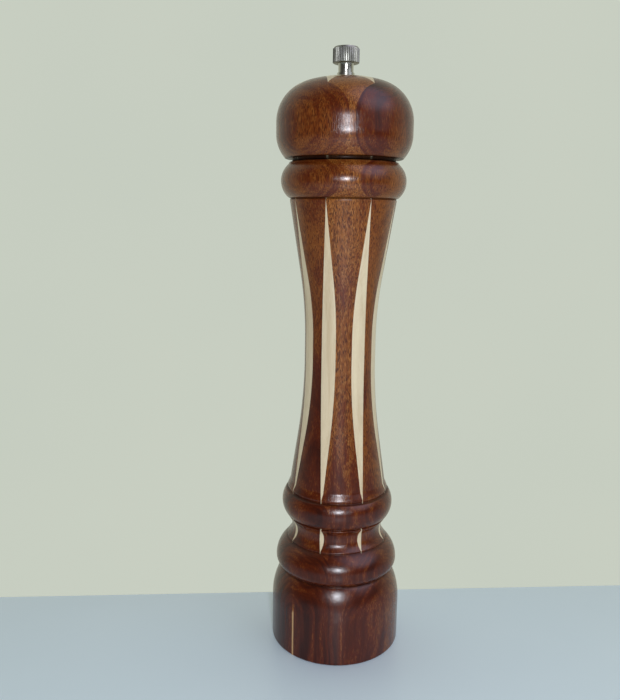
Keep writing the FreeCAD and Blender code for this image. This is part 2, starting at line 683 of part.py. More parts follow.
def adjusting_knob():
    """The knurled nut on the shaft's stud, with a blind bore and a chamfered cap."""
    neck = disc("knob_neck", S["knob_neck_radius"], S["knob_neck_height"], KNOB_Z)
    top_z = KNURL_Z + S["knurl_height"]
    levels = [(KNURL_Z, S["knob_radius"]), (top_z, S["knob_radius"])]
    knurl = toothed("knob_knurl", KNURL_TEETH, levels, S["knurl_depth"], 0.0)
    cap = add("Part::Cone", "knob_cap", Radius1=S["knob_radius"] - S["knurl_depth"],
              Radius2=S["knob_cap_radius"], Height=S["knob_cap_height"])
    place(cap, z=top_z)
    solid = join("Part::Fuse", "knob_neck_and_knurl", neck, knurl)
    solid = join("Part::Fuse", "knob_solid", solid, cap)
    bore = disc("knob_bore", S["stud_radius"] + S["slide_gap"], S["knob_bore_depth"], KNOB_Z)
    return join("Part::Cut", "adjusting_knob", solid, bore)


def mechanism():
    """Every metal piece, each a sub-part of its own."""
    return [
        drive_shaft(),
        adjusting_knob(),
        washer("knob_washer", S["washer_radius"], S["washer_height"], STUD_HOLE, HEAD_TOP_Z),
        drive_plate(),
        screws("drive_plate_screws", PLATE_CIRCLE, PAIR, PAIR_ANGLE, PLATE_Z),
        bridge_bar(),
        screws("bridge_screws", BRIDGE_CIRCLE, PAIR, PAIR_ANGLE, BRIDGE_Z),
        square_washer("thrust_washer", SPRING_REACH + S["thrust_margin"], S["thrust_height"],
                      S["slide_gap"], THRUST_Z),
        spring(),
        rotor(),
        square_washer("rotor_clip", SHAFT_CORNER + S["clip_margin"], S["clip_height"],
                      Size(0.0), CLIP_Z),
        stator(),
        screws("stator_screws", STATOR_CIRCLE, STATOR_SCREWS, STATOR_SCREW_ANGLE,
               FLANGE_Z),
    ]


def turned_wood():
    """Every strip twice: what the lathe left of it in the body and in the head."""
    blanks = {"body": body_blank(), "head": head_blank()}
    strips = lamination()
    pieces = []
    for part_name, blank in blanks.items():
        for strip_name, bar in strips.items():
            pieces.append(join("Part::Common", "{}_{}".format(part_name, strip_name), blank, bar))
    return pieces


def check(pieces):
    """Stop with the names of features that failed and of shapes that aren't sound."""
    faults = [item.Label for item in DOCUMENT.Objects
              if "Invalid" in item.State or "Error" in item.State]
    faults += [item.Label for item in pieces
               if item.Shape.isNull() or not item.Shape.isValid() or not item.Shape.Solids]
    if faults:
        raise RuntimeError("not sound: " + ", ".join(faults))


def export(pieces):
    os.makedirs("parts", exist_ok=True)
    for piece in pieces:
        piece.Shape.exportStep("parts/{}.step".format(piece.Label))


PIECES = turned_wood() + mechanism()
DOCUMENT.recompute()
check(PIECES)
export(PIECES)
print("{} sub-parts, {} solids".format(
    len(PIECES), sum(len(piece.Shape.Solids) for piece in PIECES)))
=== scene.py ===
"""The looks of a turned, laminated pepper mill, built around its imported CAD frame.

The wooden body and head are lofted strip by strip, so every dark rod, outer stave and the light
core is a mesh of its own with the exact edges that the lathe gave it. The knob, the shaft's
thread, the spring and the screws are made with Geometry Nodes, and the other metal pieces keep
their CAD meshes and get a better finish.
"""

import logging
import math
from dataclasses import dataclass, field
from enum import Enum
from typing import Callable, Sequence

import bpy
import numpy as np
from mathutils import Matrix, Vector


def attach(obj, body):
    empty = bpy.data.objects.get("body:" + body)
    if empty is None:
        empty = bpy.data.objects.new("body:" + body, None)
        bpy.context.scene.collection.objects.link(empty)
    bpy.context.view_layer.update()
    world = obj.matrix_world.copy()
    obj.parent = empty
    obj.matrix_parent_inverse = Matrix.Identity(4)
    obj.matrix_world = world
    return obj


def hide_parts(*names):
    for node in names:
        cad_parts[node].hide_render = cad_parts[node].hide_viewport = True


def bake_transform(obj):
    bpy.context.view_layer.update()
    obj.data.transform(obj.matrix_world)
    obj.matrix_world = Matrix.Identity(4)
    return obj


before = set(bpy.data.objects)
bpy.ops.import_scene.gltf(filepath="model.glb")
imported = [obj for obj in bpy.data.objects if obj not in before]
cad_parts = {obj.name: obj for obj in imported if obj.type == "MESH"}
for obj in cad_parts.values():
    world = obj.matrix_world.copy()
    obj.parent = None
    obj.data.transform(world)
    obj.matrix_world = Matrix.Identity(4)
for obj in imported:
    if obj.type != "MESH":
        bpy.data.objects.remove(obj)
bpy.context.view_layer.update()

LOG = logging.getLogger("pepper_mill")
MM = 0.001
QUARTER = 90.0
TINY = 1e-6
NEAR = 1e-4
RELIEF_DEPTH = 0.00006
SCRATCH_DEPTH = 0.00002
Colour = tuple[float, float, float]
Point2 = tuple[float, float]

# The grooves, from the foot up: height, the radius they reach in to, how far the painted shade
# spreads up and down, in millimetres, and how dark it is. The last is the gap under the head.
GROOVES = ((42.2, 28.0, 0.50, 0.60), (59.15, 25.5, 0.45, 0.45), (72.6, 25.0, 0.45, 0.50),
           (87.0, 25.5, 0.45, 0.50), (242.4, 25.5, 0.40, 0.60), (261.3, 22.0, 0.90, 1.00))
# The heights, in millimetres, at which a strip's tone is given: the base and its shoulder, the
# two low beads, the neck's foot, waist and top, the collar, and the head's middle and top.
TONE_HEIGHTS = (24.0, 31.0, 47.0, 80.0, 105.0, 160.0, 236.0, 251.0, 275.0, 300.0)


class Grain(Enum):
    """The kinds of wood in the blank."""

    PALE = "pale_wood"
    STRIPED = "striped_dark_wood"
    RED = "red_dark_wood"


# --------------------------------------------------------------------------- node trees


class NodeGraph:
    """A tree of shader or geometry nodes, built up node by node."""

    def __init__(self, tree: bpy.types.NodeTree) -> None:
        """Empty a tree and start on it."""
        self.nodes = tree.nodes
        self.links = tree.links
        self.nodes.clear()

    def node(self, kind: str, inputs: dict | None = None, **settings: object) -> bpy.types.Node:
        """Add a node.

        Args:
            kind: The node's type.
            inputs: Values or sockets for its inputs, by name or place.
            **settings: Its own properties.

        Returns:
            The new node.
        """
        made = self.nodes.new(kind)
        for name, value in settings.items():
            setattr(made, name, value)
        for key, value in (inputs or {}).items():
            if isinstance(value, bpy.types.NodeSocket):
                self.links.new(value, made.inputs[key])
            else:
                made.inputs[key].default_value = value
        return made

    def math(self, operation: str, first: object, second: object = 0.0,
             clamp: bool = False) -> bpy.types.NodeSocket:
        """Add a Math node and return its result."""
        made = self.node("ShaderNodeMath", {0: first, 1: second}, operation=operation,
                         use_clamp=clamp)
        return made.outputs[0]

    def times(self, first: object, second: object, clamp: bool = False) -> bpy.types.NodeSocket:
        """Multiply two numbers."""
        return self.math("MULTIPLY", first, second, clamp)

    def plus(self, first: object, second: object, clamp: bool = False) -> bpy.types.NodeSocket:
        """Add two numbers."""
        return self.math("ADD", first, second, clamp)

    def minus(self, first: object, second: object) -> bpy.types.NodeSocket:
        """Take the second number from the first."""
        return self.math("SUBTRACT", first, second)


class ShaderGraph(NodeGraph):
    """The shader tree of a material or a world."""

    def __init__(self, owner: bpy.types.Material | bpy.types.World) -> None:
        """Start with an empty tree.

        Args:
            owner: The material or the world.
        """
        owner.use_nodes = True
        self.owner = owner
        super().__init__(owner.node_tree)

    def scaled(self, place: bpy.types.NodeSocket, scale: Sequence[float],
               shift: Sequence[float] = (0.0, 0.0, 0.0)) -> bpy.types.NodeSocket:
        """Scale and shift a place and return the new one."""
        made = self.node("ShaderNodeMapping", {"Vector": place, "Scale": scale,
                                               "Location": shift})
        return made.outputs[0]

    def noise(self, place: bpy.types.NodeSocket, scale: float, detail: float = 2.0,
              rough: float = 0.5, distort: float = 0.0) -> bpy.types.NodeSocket:
        """Add a Noise texture and return its factor."""
        made = self.node("ShaderNodeTexNoise", {"Vector": place, "Scale": scale,
                                                "Detail": detail, "Roughness": rough,
                                                "Distortion": distort})
        return made.outputs["Fac"]

    def grain(self, place: bpy.types.NodeSocket, scale: Sequence[float], detail: float,
              rough: float = 0.5, shift: Sequence[float] = (0.0, 0.0, 0.0),
              ) -> bpy.types.NodeSocket:
        """Add a Noise texture with a scale for each axis and return its factor."""
        return self.noise(self.scaled(place, scale, shift), 1.0, detail, rough)

    def attribute(self, name: str, output: str = "Fac") -> bpy.types.NodeSocket:
        """Read one of the mesh's attributes."""
        return self.node("ShaderNodeAttribute", attribute_name=name).outputs[output]

    def bump(self, height: bpy.types.NodeSocket, strength: float,
             distance: float) -> bpy.types.NodeSocket:
        """Tilt the surface's normal by a height and return it."""
        return self.node("ShaderNodeBump", {"Height": height, "Strength": strength,
                                            "Distance": distance}).outputs[0]

    def ramp(self, factor: bpy.types.NodeSocket, low: float, high: float,
             smooth: bool = True) -> bpy.types.NodeSocket:
        """Stretch a factor so that low becomes 0 and high becomes 1."""
        made = self.node("ShaderNodeMapRange", {"Value": factor, "From Min": low,
                                                "From Max": high},
                         interpolation_type="SMOOTHSTEP" if smooth else "LINEAR")
        return made.outputs["Result"]

    def mix(self, factor: object, first: object, second: object,
            blend: str = "MIX") -> bpy.types.NodeSocket:
        """Mix two colours and return the result."""
        made = self.node("ShaderNodeMix", data_type="RGBA", blend_type=blend)
        for key, value in (("Factor_Float", factor), ("A_Color", first), ("B_Color", second)):
            socket = next(item for item in made.inputs if item.identifier == key)
            if isinstance(value, bpy.types.NodeSocket):
                self.links.new(value, socket)
            elif isinstance(value, tuple):
                socket.default_value = (*value, 1.0)
            else:
                socket.default_value = value
        return next(item for item in made.outputs if item.identifier == "Result_Color")

    def finish(self, shader: bpy.types.NodeSocket) -> bpy.types.Material:
        """Send a shader to the output and return the material."""
        self.node("ShaderNodeOutputMaterial", {"Surface": shader})
        return self.owner


# --------------------------------------------------------------------------- finishes


@dataclass(frozen=True)
class WoodFinish:
    """A lacquered wood with pores, flecks, growth bands and a slow change of tone.

    Scales are features to the millimetre across the board, through it and along it.
    """

    grain: Grain
    deep: Colour
    middle: Colour
    bright: Colour
    fleck: Colour
    pore: Colour
    pore_strength: float
    fleck_strength: float
    band_strength: float
    band_scale: tuple[float, float, float]
    relief: float = 1.0
    coat_roughness: float = 0.23
    coat_ior: float = 1.40
    pale_face: Colour = (0.46, 0.27, 0.12)
    # Near-black painted shade for the grooves and the gap under the head.
    painted_shade_colour: Colour = (0.006, 0.003, 0.002)

    def build(self) -> bpy.types.Material:
        """Make the material, reading each strip's own place in its board.

        Returns:
            The finished material.
        """
        graph = ShaderGraph(bpy.data.materials.new(self.grain.value))
        board = graph.attribute("board", "Vector")
        tone, dirt = graph.attribute("tone"), graph.attribute("dirt")
        sway = graph.node("ShaderNodeTexNoise", {"Vector": graph.scaled(board, (0.05, 0.05, 0.02)),
                                                 "Scale": 1.0, "Detail": 1.0}).outputs["Color"]
        wander = graph.node("ShaderNodeVectorMath", {
            0: board, 1: graph.scaled(sway, (7.0, 7.0, 0.0))}, operation="ADD").outputs[0]
        drift = graph.grain(board, (0.06, 0.06, 0.014), 1.0)
        bands = graph.ramp(graph.grain(wander, self.band_scale, 2.0, 0.6), 0.33, 0.67)
        fibre = graph.grain(wander, (2.4, 2.4, 0.09), 3.0, 0.7)
        pores = graph.ramp(graph.grain(wander, (3.0, 3.0, 0.38), 1.0, 0.6), 0.47, 0.62)
        flecks = graph.ramp(graph.grain(wander, (1.7, 1.7, 0.36), 1.0, 0.6, (31.0, 7.0, 3.0)),
                            0.50, 0.68)
        depth = graph.plus(graph.times(bands, self.band_strength),
                           graph.times(fibre, 1.0 - self.band_strength))
        depth = graph.plus(depth, graph.times(graph.minus(drift, 0.5), 0.8))
        depth = graph.plus(depth, tone, clamp=True)
        colour = graph.mix(graph.ramp(depth, 0.0, 0.5, False), self.deep, self.middle)
        colour = graph.mix(graph.ramp(depth, 0.45, 1.0, False), colour, self.bright)
        open_grain = graph.ramp(depth, 0.15, 0.75)
        flecked = graph.times(flecks, graph.times(open_grain, self.fleck_strength))
        colour = graph.mix(flecked, colour, self.fleck)
        pored = graph.times(pores, graph.times(graph.plus(open_grain, 0.35), self.pore_strength),
                            clamp=True)
        colour = graph.mix(pored, colour, self.pore)
        colour = graph.mix(graph.ramp(tone, 1.0, 1.7), colour, self.pale_face)
        # Painted shade: near black in the grooves and the gap under the head. It also thins the
        # coat there.
        colour = graph.mix(graph.times(dirt, 0.92), colour, self.painted_shade_colour)
        relief = graph.minus(graph.times(fibre, 0.35), graph.times(pores, 0.65))
        shader = graph.node("ShaderNodeBsdfPrincipled", {
            "Base Color": colour, "Roughness": graph.plus(graph.times(fibre, 0.2), 0.4),
            "Specular IOR Level": 0.02, "Coat Weight": graph.minus(1.0, graph.times(dirt, 0.95)),
            "Coat Roughness": self.coat_roughness, "Coat IOR": self.coat_ior,
            "Normal": graph.bump(relief, 0.35 * self.relief, RELIEF_DEPTH),
            "Coat Normal": graph.bump(relief, 0.30 * self.relief, RELIEF_DEPTH)})
        return graph.finish(shader.outputs[0])


@dataclass(frozen=True)
class MetalFinish:
    """A metal with fine scratches along or round its axis and a little uneven gloss."""

    name: str
    colour: Colour
    roughness: float
    scratch: float
    scratch_scale: tuple[float, float, float] = (900.0, 900.0, 6000.0)
    tarnish: Colour = (0.2, 0.18, 0.15)
    tarnish_amount: float = 0.15

    def build(self) -> bpy.types.Material:
        """Make the material from Object coordinates.

        Returns:
            The finished material.
        """
        graph = ShaderGraph(bpy.data.materials.new(self.name))
        place = graph.node("ShaderNodeTexCoord").outputs["Object"]
        scratches = graph.grain(place, self.scratch_scale, 2.0, 0.6)
        cloud = graph.noise(place, 260.0, 4.0, 0.6)
        roughness = graph.plus(graph.times(graph.ramp(cloud, 0.3, 0.7), 0.12),
                               graph.times(scratches, self.scratch))
        roughness = graph.plus(roughness, self.roughness)
        stained = graph.times(graph.ramp(cloud, 0.45, 0.75), self.tarnish_amount)
        shader = graph.node("ShaderNodeBsdfPrincipled", {
            "Base Color": graph.mix(stained, self.colour, self.tarnish), "Metallic": 1.0,
            "Roughness": roughness,
            "Normal": graph.bump(scratches, self.scratch, SCRATCH_DEPTH)})
        return graph.finish(shader.outputs[0])


WOODS = {
    Grain.PALE: WoodFinish(Grain.PALE, (0.50, 0.37, 0.22), (0.64, 0.52, 0.34),
                           (0.72, 0.61, 0.41), (0.76, 0.66, 0.47), (0.42, 0.30, 0.18), 0.06, 0.2,
                           0.35, (0.30, 0.30, 0.010), 0.4),
    Grain.STRIPED: WoodFinish(Grain.STRIPED, (0.038, 0.0045, 0.0007), (0.112, 0.0170, 0.0020),
                              (0.250, 0.0800, 0.0130), (0.39, 0.165, 0.040),
                              (0.046, 0.0080, 0.0016), 0.62, 0.50, 0.45, (0.30, 0.30, 0.010)),
    Grain.RED: WoodFinish(Grain.RED, (0.028, 0.0032, 0.0006), (0.088, 0.0115, 0.0013),
                          (0.200, 0.0560, 0.0078), (0.31, 0.110, 0.022),
                          (0.034, 0.0052, 0.0014), 0.55, 0.35, 0.42, (0.09, 0.55, 0.016)),
}

METALS = {
    "nickel": MetalFinish("nickel_plate", (0.50, 0.49, 0.44), 0.14, 0.08),
    "satin": MetalFinish("satin_nickel", (0.30, 0.30, 0.265), 0.34, 0.10),
    "aluminium": MetalFinish("shaft_aluminium", (0.74, 0.74, 0.75), 0.24, 0.20,
                             (5000.0, 5000.0, 200.0)),
    "zinc": MetalFinish("zinc_steel", (0.60, 0.61, 0.63), 0.26, 0.12, (2500.0, 2500.0, 2500.0)),
    "screw": MetalFinish("screw_steel", (0.52, 0.52, 0.52), 0.22, 0.15),
    "spring": MetalFinish("spring_steel", (0.38, 0.38, 0.40), 0.24, 0.12),
    "hard": MetalFinish("hard_steel", (0.26, 0.26, 0.28), 0.34, 0.22, (2500.0, 2500.0, 900.0),
                        (0.10, 0.08, 0.07), 0.45),
}


# --------------------------------------------------------------------------- meshes


def named_object(name: str, mesh: bpy.types.Mesh,
                 material: bpy.types.Material | None = None) -> bpy.types.Object:
    """Link a mesh into the scene as an object at the origin.

    Args:
        name: The object's name.
        mesh: Its mesh, in the frame's metres.
        material: The finish for its only slot, if it has none yet.

    Returns:
        The new object.
    """
    made = bpy.data.objects.new(name, mesh)
    bpy.context.scene.collection.objects.link(made)
    if material is not None:
        mesh.materials.clear()
        mesh.materials.append(material)
    return made


class Loft:
    """A closed mesh through rows of points, with its own normal at every face corner."""

    def __init__(self) -> None:
        """Start with no faces."""
        self.corners: list[np.ndarray] = []
        self.normals: list[np.ndarray] = []

    def face(self, points: np.ndarray, normals: np.ndarray | None = None) -> None:
        """Add a face, leaving out corners that fall together.

        Args:
            points: Its corners, in order, in millimetres.
            normals: A normal for each corner, or None for a flat face.
        """
        keep = [index for index in range(len(points))
                if np.abs(points[index] - points[index - 1]).max() > 1e-5]
        if len(keep) < 3:
            return
        kept = points[keep]
        centre = kept.mean(axis=0)
        area = np.cross(kept - centre, np.roll(kept, -1, axis=0) - centre).sum(axis=0)
        size = float(np.linalg.norm(area))
        if size < 1e-8:
            return
        self.corners.append(kept)
        self.normals.append(np.tile(area / size, (len(keep), 1)) if normals is None
                            else normals[keep])

    def mesh(self, name: str, attributes: dict[str, Callable[[np.ndarray], np.ndarray]],
             ) -> bpy.types.Mesh:
        """Make the mesh.

        Args:
            name: The mesh's name.
            attributes: For each point attribute, a function of the points in millimetres.

        Returns:
            The mesh, in metres.
        """
        corners = np.concatenate(self.corners)
        keys, index = np.unique(np.round(corners, 4), axis=0, return_inverse=True)
        index = index.reshape(-1)
        faces, start = [], 0
        for item in self.corners:
            faces.append(index[start:start + len(item)].tolist())
            start += len(item)
        made = bpy.data.meshes.new(name)
        made.from_pydata((keys * MM).tolist(), [], faces)
        for key, function in attributes.items():
            values = function(keys).astype(np.float32)
            kind = "FLOAT" if values.ndim == 1 else "FLOAT_VECTOR"
            layer = made.attributes.new(key, kind, "POINT")
            layer.data.foreach_set("value" if kind == "FLOAT" else "vector", values.ravel())
        made.polygons.foreach_set("use_smooth", [True] * len(faces))
        made.normals_split_custom_set(np.concatenate(self.normals).tolist())
        made.update()
        return made


@dataclass
class Outline:
    """The line that the lathe followed, as radius and height in millimetres."""

    start: Point2
    points: list[np.ndarray] = field(default_factory=list)

    def __post_init__(self) -> None:
        """Put the start in the list of points."""
        self.points.append(np.array(self.start, dtype=float))

    def line(self, radius: float, height: float, step: float = 0.2) -> "Outline":
        """Go straight to a point.

        Args:
            radius: The end's radius.
            height: The end's height.
            step: The longest step between samples.

        Returns:
            This outline.
        """
        begin, end = self.points[-1], np.array((radius, height), dtype=float)
        count = max(1, math.ceil(float(np.linalg.norm(end - begin)) / step))
        self.points += [begin + (end - begin) * index / count for index in range(1, count + 1)]
        return self

    def arc(self, radius: float, height: float, curve: float, hollow: bool = False,
            step: float = 0.2) -> "Outline":
        """Go round to a point.

        Args:
            radius: The end's radius.
            height: The end's height.
            curve: The arc's radius.
            hollow: True if the arc bends inwards, as in a cove.
            step: The longest step between samples.

        Returns:
            This outline.
        """
        begin, end = self.points[-1], np.array((radius, height), dtype=float)
        chord = end - begin
        length = float(np.linalg.norm(chord))
        left = np.array((-chord[1], chord[0])) / length * (-1.0 if hollow else 1.0)
        centre = (begin + end) / 2 + left * math.sqrt(max(curve ** 2 - length ** 2 / 4, 0.0))
        first = math.atan2(*(begin - centre)[::-1])
        sweep = 2 * math.asin(min(1.0, length / 2 / curve)) * (-1.0 if hollow else 1.0)
        count = max(2, math.ceil(abs(sweep) * curve / step))
        for index in range(1, count + 1):
            angle = first + sweep * index / count
            self.points.append(centre + curve * np.array((math.cos(angle), math.sin(angle))))
        return self

    def rows(self, longest: float, radii: Sequence[float], heights: Sequence[float],
             rounds: int = 3) -> "Rows":
        """Ease the corners, thin the samples out and add the ones that are asked for.

        Args:
            longest: The longest step to keep, in millimetres.
            radii: Radii at which there has to be a row, wherever the line crosses them.
            heights: Heights at which there has to be a row.
            rounds: How many times the corners are eased.

        Returns:
            The rows of the turned surface.
        """
        line = np.array(self.points)
        for _ in range(rounds):
            eased = line.copy()
            eased[1:-1] = (line[:-2] + 2 * line[1:-1] + line[2:]) / 4
            line = eased
        along = np.gradient(line, axis=0)
        normal = np.stack((along[:, 1], -along[:, 0]), axis=1)
        normal /= np.linalg.norm(normal, axis=1, keepdims=True)
        both = np.concatenate((line, normal), axis=1)
        kept = [both[0]]
        for index in range(1, len(both) - 1):
            gone = float(np.linalg.norm(both[index + 1, :2] - kept[-1][:2]))
            turned = float(np.dot(both[index + 1, 2:], kept[-1][2:]))
            if gone > longest or turned < math.cos(math.radians(3.0)):
                kept.append(both[index])
        kept.append(both[-1])
        return Rows(np.array(kept)).crossing(0, radii).crossing(1, heights)


@dataclass
class Rows:
    """Rows of a turned surface: radius, height and the normal's radial and upward parts."""

    table: np.ndarray

    def crossing(self, column: int, values: Sequence[float]) -> "Rows":
        """Add a row wherever a column passes one of the values.

        Args:
            column: 0 for the radius, 1 for the height.
            values: The values to add rows at.

        Returns:
            The fuller rows.
        """
        made = [self.table[0]]
        for here in self.table[1:]:
            before = made[-1]
            low, high = sorted((before[column], here[column]))
            inside = [value for value in values if low + NEAR < value < high - NEAR]
            for value in sorted(inside, reverse=bool(before[column] > here[column])):
                share = (value - before[column]) / (here[column] - before[column])
                made.append(before + (here - before) * share)
            made.append(here)
        return Rows(np.array(made))


# --------------------------------------------------------------------------- the blank


@dataclass(frozen=True)
class Blank:
    """The section of the glued-up blank, in millimetres, with a panel rod towards -Y."""

    web_apex: float = 14.2
    plane: float = 11.0
    reach: float = 35.9
    corner_plane: float = 25.4

    @property
    def side(self) -> Point2:
        """Where a panel rod meets the tip of the light core."""
        return (self.plane, self.web_apex + self.plane)

    @property
    def side_radius(self) -> float:
        """The radius of that meeting."""
        return math.hypot(*self.side)

    @property
    def corner_radius(self) -> float:
        """The radius of a corner rod's side corners."""
        return math.hypot(self.plane, self.corner_plane)

    @property
    def corner_apex(self) -> float:
        """The radius of a corner rod's inner edge."""
        return self.plane * math.sqrt(2.0)

    def radii(self) -> list[float]:
        """Radii at which the pattern on a turned surface changes."""
        return [self.web_apex, self.corner_apex, self.side_radius, self.corner_radius]

    def panel_edge(self, radius: float) -> float:
        """The angle from a panel rod's middle to its edge at a radius."""
        if radius <= self.web_apex:
            return 0.0
        if radius <= self.side_radius + TINY:
            root = math.sqrt(max(2 * radius ** 2 - self.web_apex ** 2, 0.0))
            return math.asin(min(1.0, (root - self.web_apex) / 2 / radius))
        slope = (self.reach - self.side[1]) / self.plane
        inside = (slope * self.reach) ** 2 - (1 + slope ** 2) * (self.reach ** 2 - radius ** 2)
        across = (slope * self.reach - math.sqrt(max(inside, 0.0))) / (1 + slope ** 2)
        return math.asin(min(1.0, across / radius))

    def corner_edge(self, radius: float) -> float:
        """The angle from a panel rod's middle to a corner rod's edge at a radius."""
        if radius <= self.corner_apex:
            return math.pi / 4
        if radius <= self.corner_radius + TINY:
            return math.asin(self.plane / radius)
        return math.acos(min(1.0, self.corner_plane / radius))


def arc_points(radius: float, begin: float, end: float, count: int) -> list[Point2]:
    """Points on an arc, with angles measured from -Y towards +X."""
    return [(radius * math.sin(angle), -radius * math.cos(angle))
            for angle in np.linspace(begin, end, count + 1)]


@dataclass(frozen=True)
class Section:
    """A strip's section at one row: its points, and which edges are turned or inside."""

    points: np.ndarray
    turned: int
    inside: tuple[int, ...] = ()


class StripKind(Enum):
    """The four shapes of strip in the blank."""

    PANEL = "panel_rod"
    CORNER = "corner_rod"
    STAVE = "outer_stave"
    CORE = "light_core"


@dataclass(frozen=True)
class Strip:
    """One strip of the blank, with its place round the axis and its own piece of board."""

    kind: StripKind
    name: str
    grain: Grain
    turn: float
    mirrored: bool
    tones: tuple[float, ...]
    board: tuple[float, float, float]
    board_turn: float = 0.0
    columns: int = 10
    hole_columns: int = 4

    def smallest(self, blank: Blank) -> float:
        """The radius below which the lathe leaves nothing of this strip."""
        return {StripKind.PANEL: blank.web_apex, StripKind.CORNER: blank.corner_apex,
                StripKind.STAVE: blank.side_radius, StripKind.CORE: 0.0}[self.kind]

    def section(self, blank: Blank, radius: float, hole: float) -> Section:
        """The strip's section where the lathe cut it at a radius.

        Args:
            blank: The blank.
            radius: The turned radius.
            hole: The radius of the bore there.

        Returns:
            The section, counter-clockwise from above.
        """
        build = {StripKind.PANEL: self.panel, StripKind.CORNER: self.corner,
                 StripKind.STAVE: self.stave, StripKind.CORE: self.fin}[self.kind]
        points, inside = build(blank, radius, hole)
        table = np.array(points)
        if self.mirrored:
            table = table * (-1.0, 1.0)
        angle = math.radians(self.turn)
        turn = np.array(((math.cos(angle), math.sin(angle)),
                         (-math.sin(angle), math.cos(angle))))
        return Section(table @ turn, self.columns, inside)

    def panel(self, blank: Blank, radius: float, hole: float) -> tuple[list, tuple]:
        """A rod on its corner."""
        edge = blank.panel_edge(radius)
        inner = max(hole, blank.web_apex)
        inner_edge = blank.panel_edge(inner)
        outer = arc_points(radius, -edge, edge, self.columns)
        far = radius > blank.side_radius
        side = blank.side
        right = (side[0], -side[1]) if far else outer[-1]
        left = (-side[0], -side[1]) if far else outer[0]
        return [*outer, right, *arc_points(inner, inner_edge, -inner_edge, self.hole_columns),
                left], ()

    def corner(self, blank: Blank, radius: float, hole: float) -> tuple[list, tuple]:
        """A rod with its sides square to the panels."""
        begin = blank.corner_edge(radius)
        inner = max(hole, blank.corner_apex)
        inner_begin = blank.corner_edge(inner)
        quarter = math.pi / 2
        outer = arc_points(radius, begin, quarter - begin, self.columns)
        far = radius > blank.corner_radius
        right = (blank.corner_plane, -blank.plane) if far else outer[-1]
        left = (blank.plane, -blank.corner_plane) if far else outer[0]
        return [*outer, right,
                *arc_points(inner, quarter - inner_begin, inner_begin, self.hole_columns),
                left], ()

    def stave(self, blank: Blank, radius: float, hole: float) -> tuple[list, tuple]:
        """What is left outside the rods."""
        outer = arc_points(radius, blank.panel_edge(radius), blank.corner_edge(radius),
                           self.columns)
        far = radius > blank.corner_radius
        over = (blank.plane, -blank.corner_plane) if far else outer[-1]
        return [*outer, over, (blank.side[0], -blank.side[1])], ()

    def fin(self, blank: Blank, radius: float, hole: float) -> tuple[list, tuple]:
        """An eighth of the light core, from a panel rod's middle to a corner rod's."""
        shown = min(radius, blank.side_radius)
        outer = arc_points(shown, blank.panel_edge(shown), blank.corner_edge(shown),
                           self.columns)
        eighth = math.pi / 4
        hole_begin, hole_end = blank.panel_edge(hole), blank.corner_edge(hole)
        corner_apex = (arc_points(min(radius, blank.corner_apex), eighth, eighth, 0)
                       if hole < blank.corner_apex else arc_points(hole, hole_end, hole_end, 0))
        panel_apex = (arc_points(min(radius, blank.web_apex), 0.0, 0.0, 0)
                      if hole < blank.web_apex else arc_points(hole, hole_begin, hole_begin, 0))
        points = [*outer, *corner_apex,
                  *arc_points(hole, hole_end, hole_begin, self.hole_columns), *panel_apex]
        first = len(outer)
        inside = () if hole >= blank.web_apex else (first, len(points) - 2)
        return points, inside

    def place_in_board(self, points: np.ndarray) -> np.ndarray:
        """Each point's place in the board that the strip was sawn from."""
        aside = -self.board_turn if self.mirrored else self.board_turn
        angle = math.radians(self.turn + aside)
        cosine, sine = math.cos(angle), math.sin(angle)
        across = points[:, 0] * cosine + points[:, 1] * sine
        through = -points[:, 0] * sine + points[:, 1] * cosine
        return np.stack((across, through, points[:, 2]), axis=1) + np.array(self.board)

    def tone_at(self, points: np.ndarray) -> np.ndarray:
        """How light each point is, for a strip that gets lighter or darker with height."""
        return np.interp(points[:, 2], TONE_HEIGHTS, self.tones)


def painted_shade_at(points: np.ndarray) -> np.ndarray:
    """How dark the painted shade is in the grooves and under the head, from 0 to 1."""
    radius = np.hypot(points[:, 0], points[:, 1])
    dark = np.zeros(len(points))
    for height, groove, reach, depth in GROOVES:
        near = np.abs(points[:, 2] - height) / reach
        dark = np.maximum(dark, np.where(radius > groove,
                                         depth * np.clip(1.6 - near, 0.0, 1.0), 0.0))
    return dark


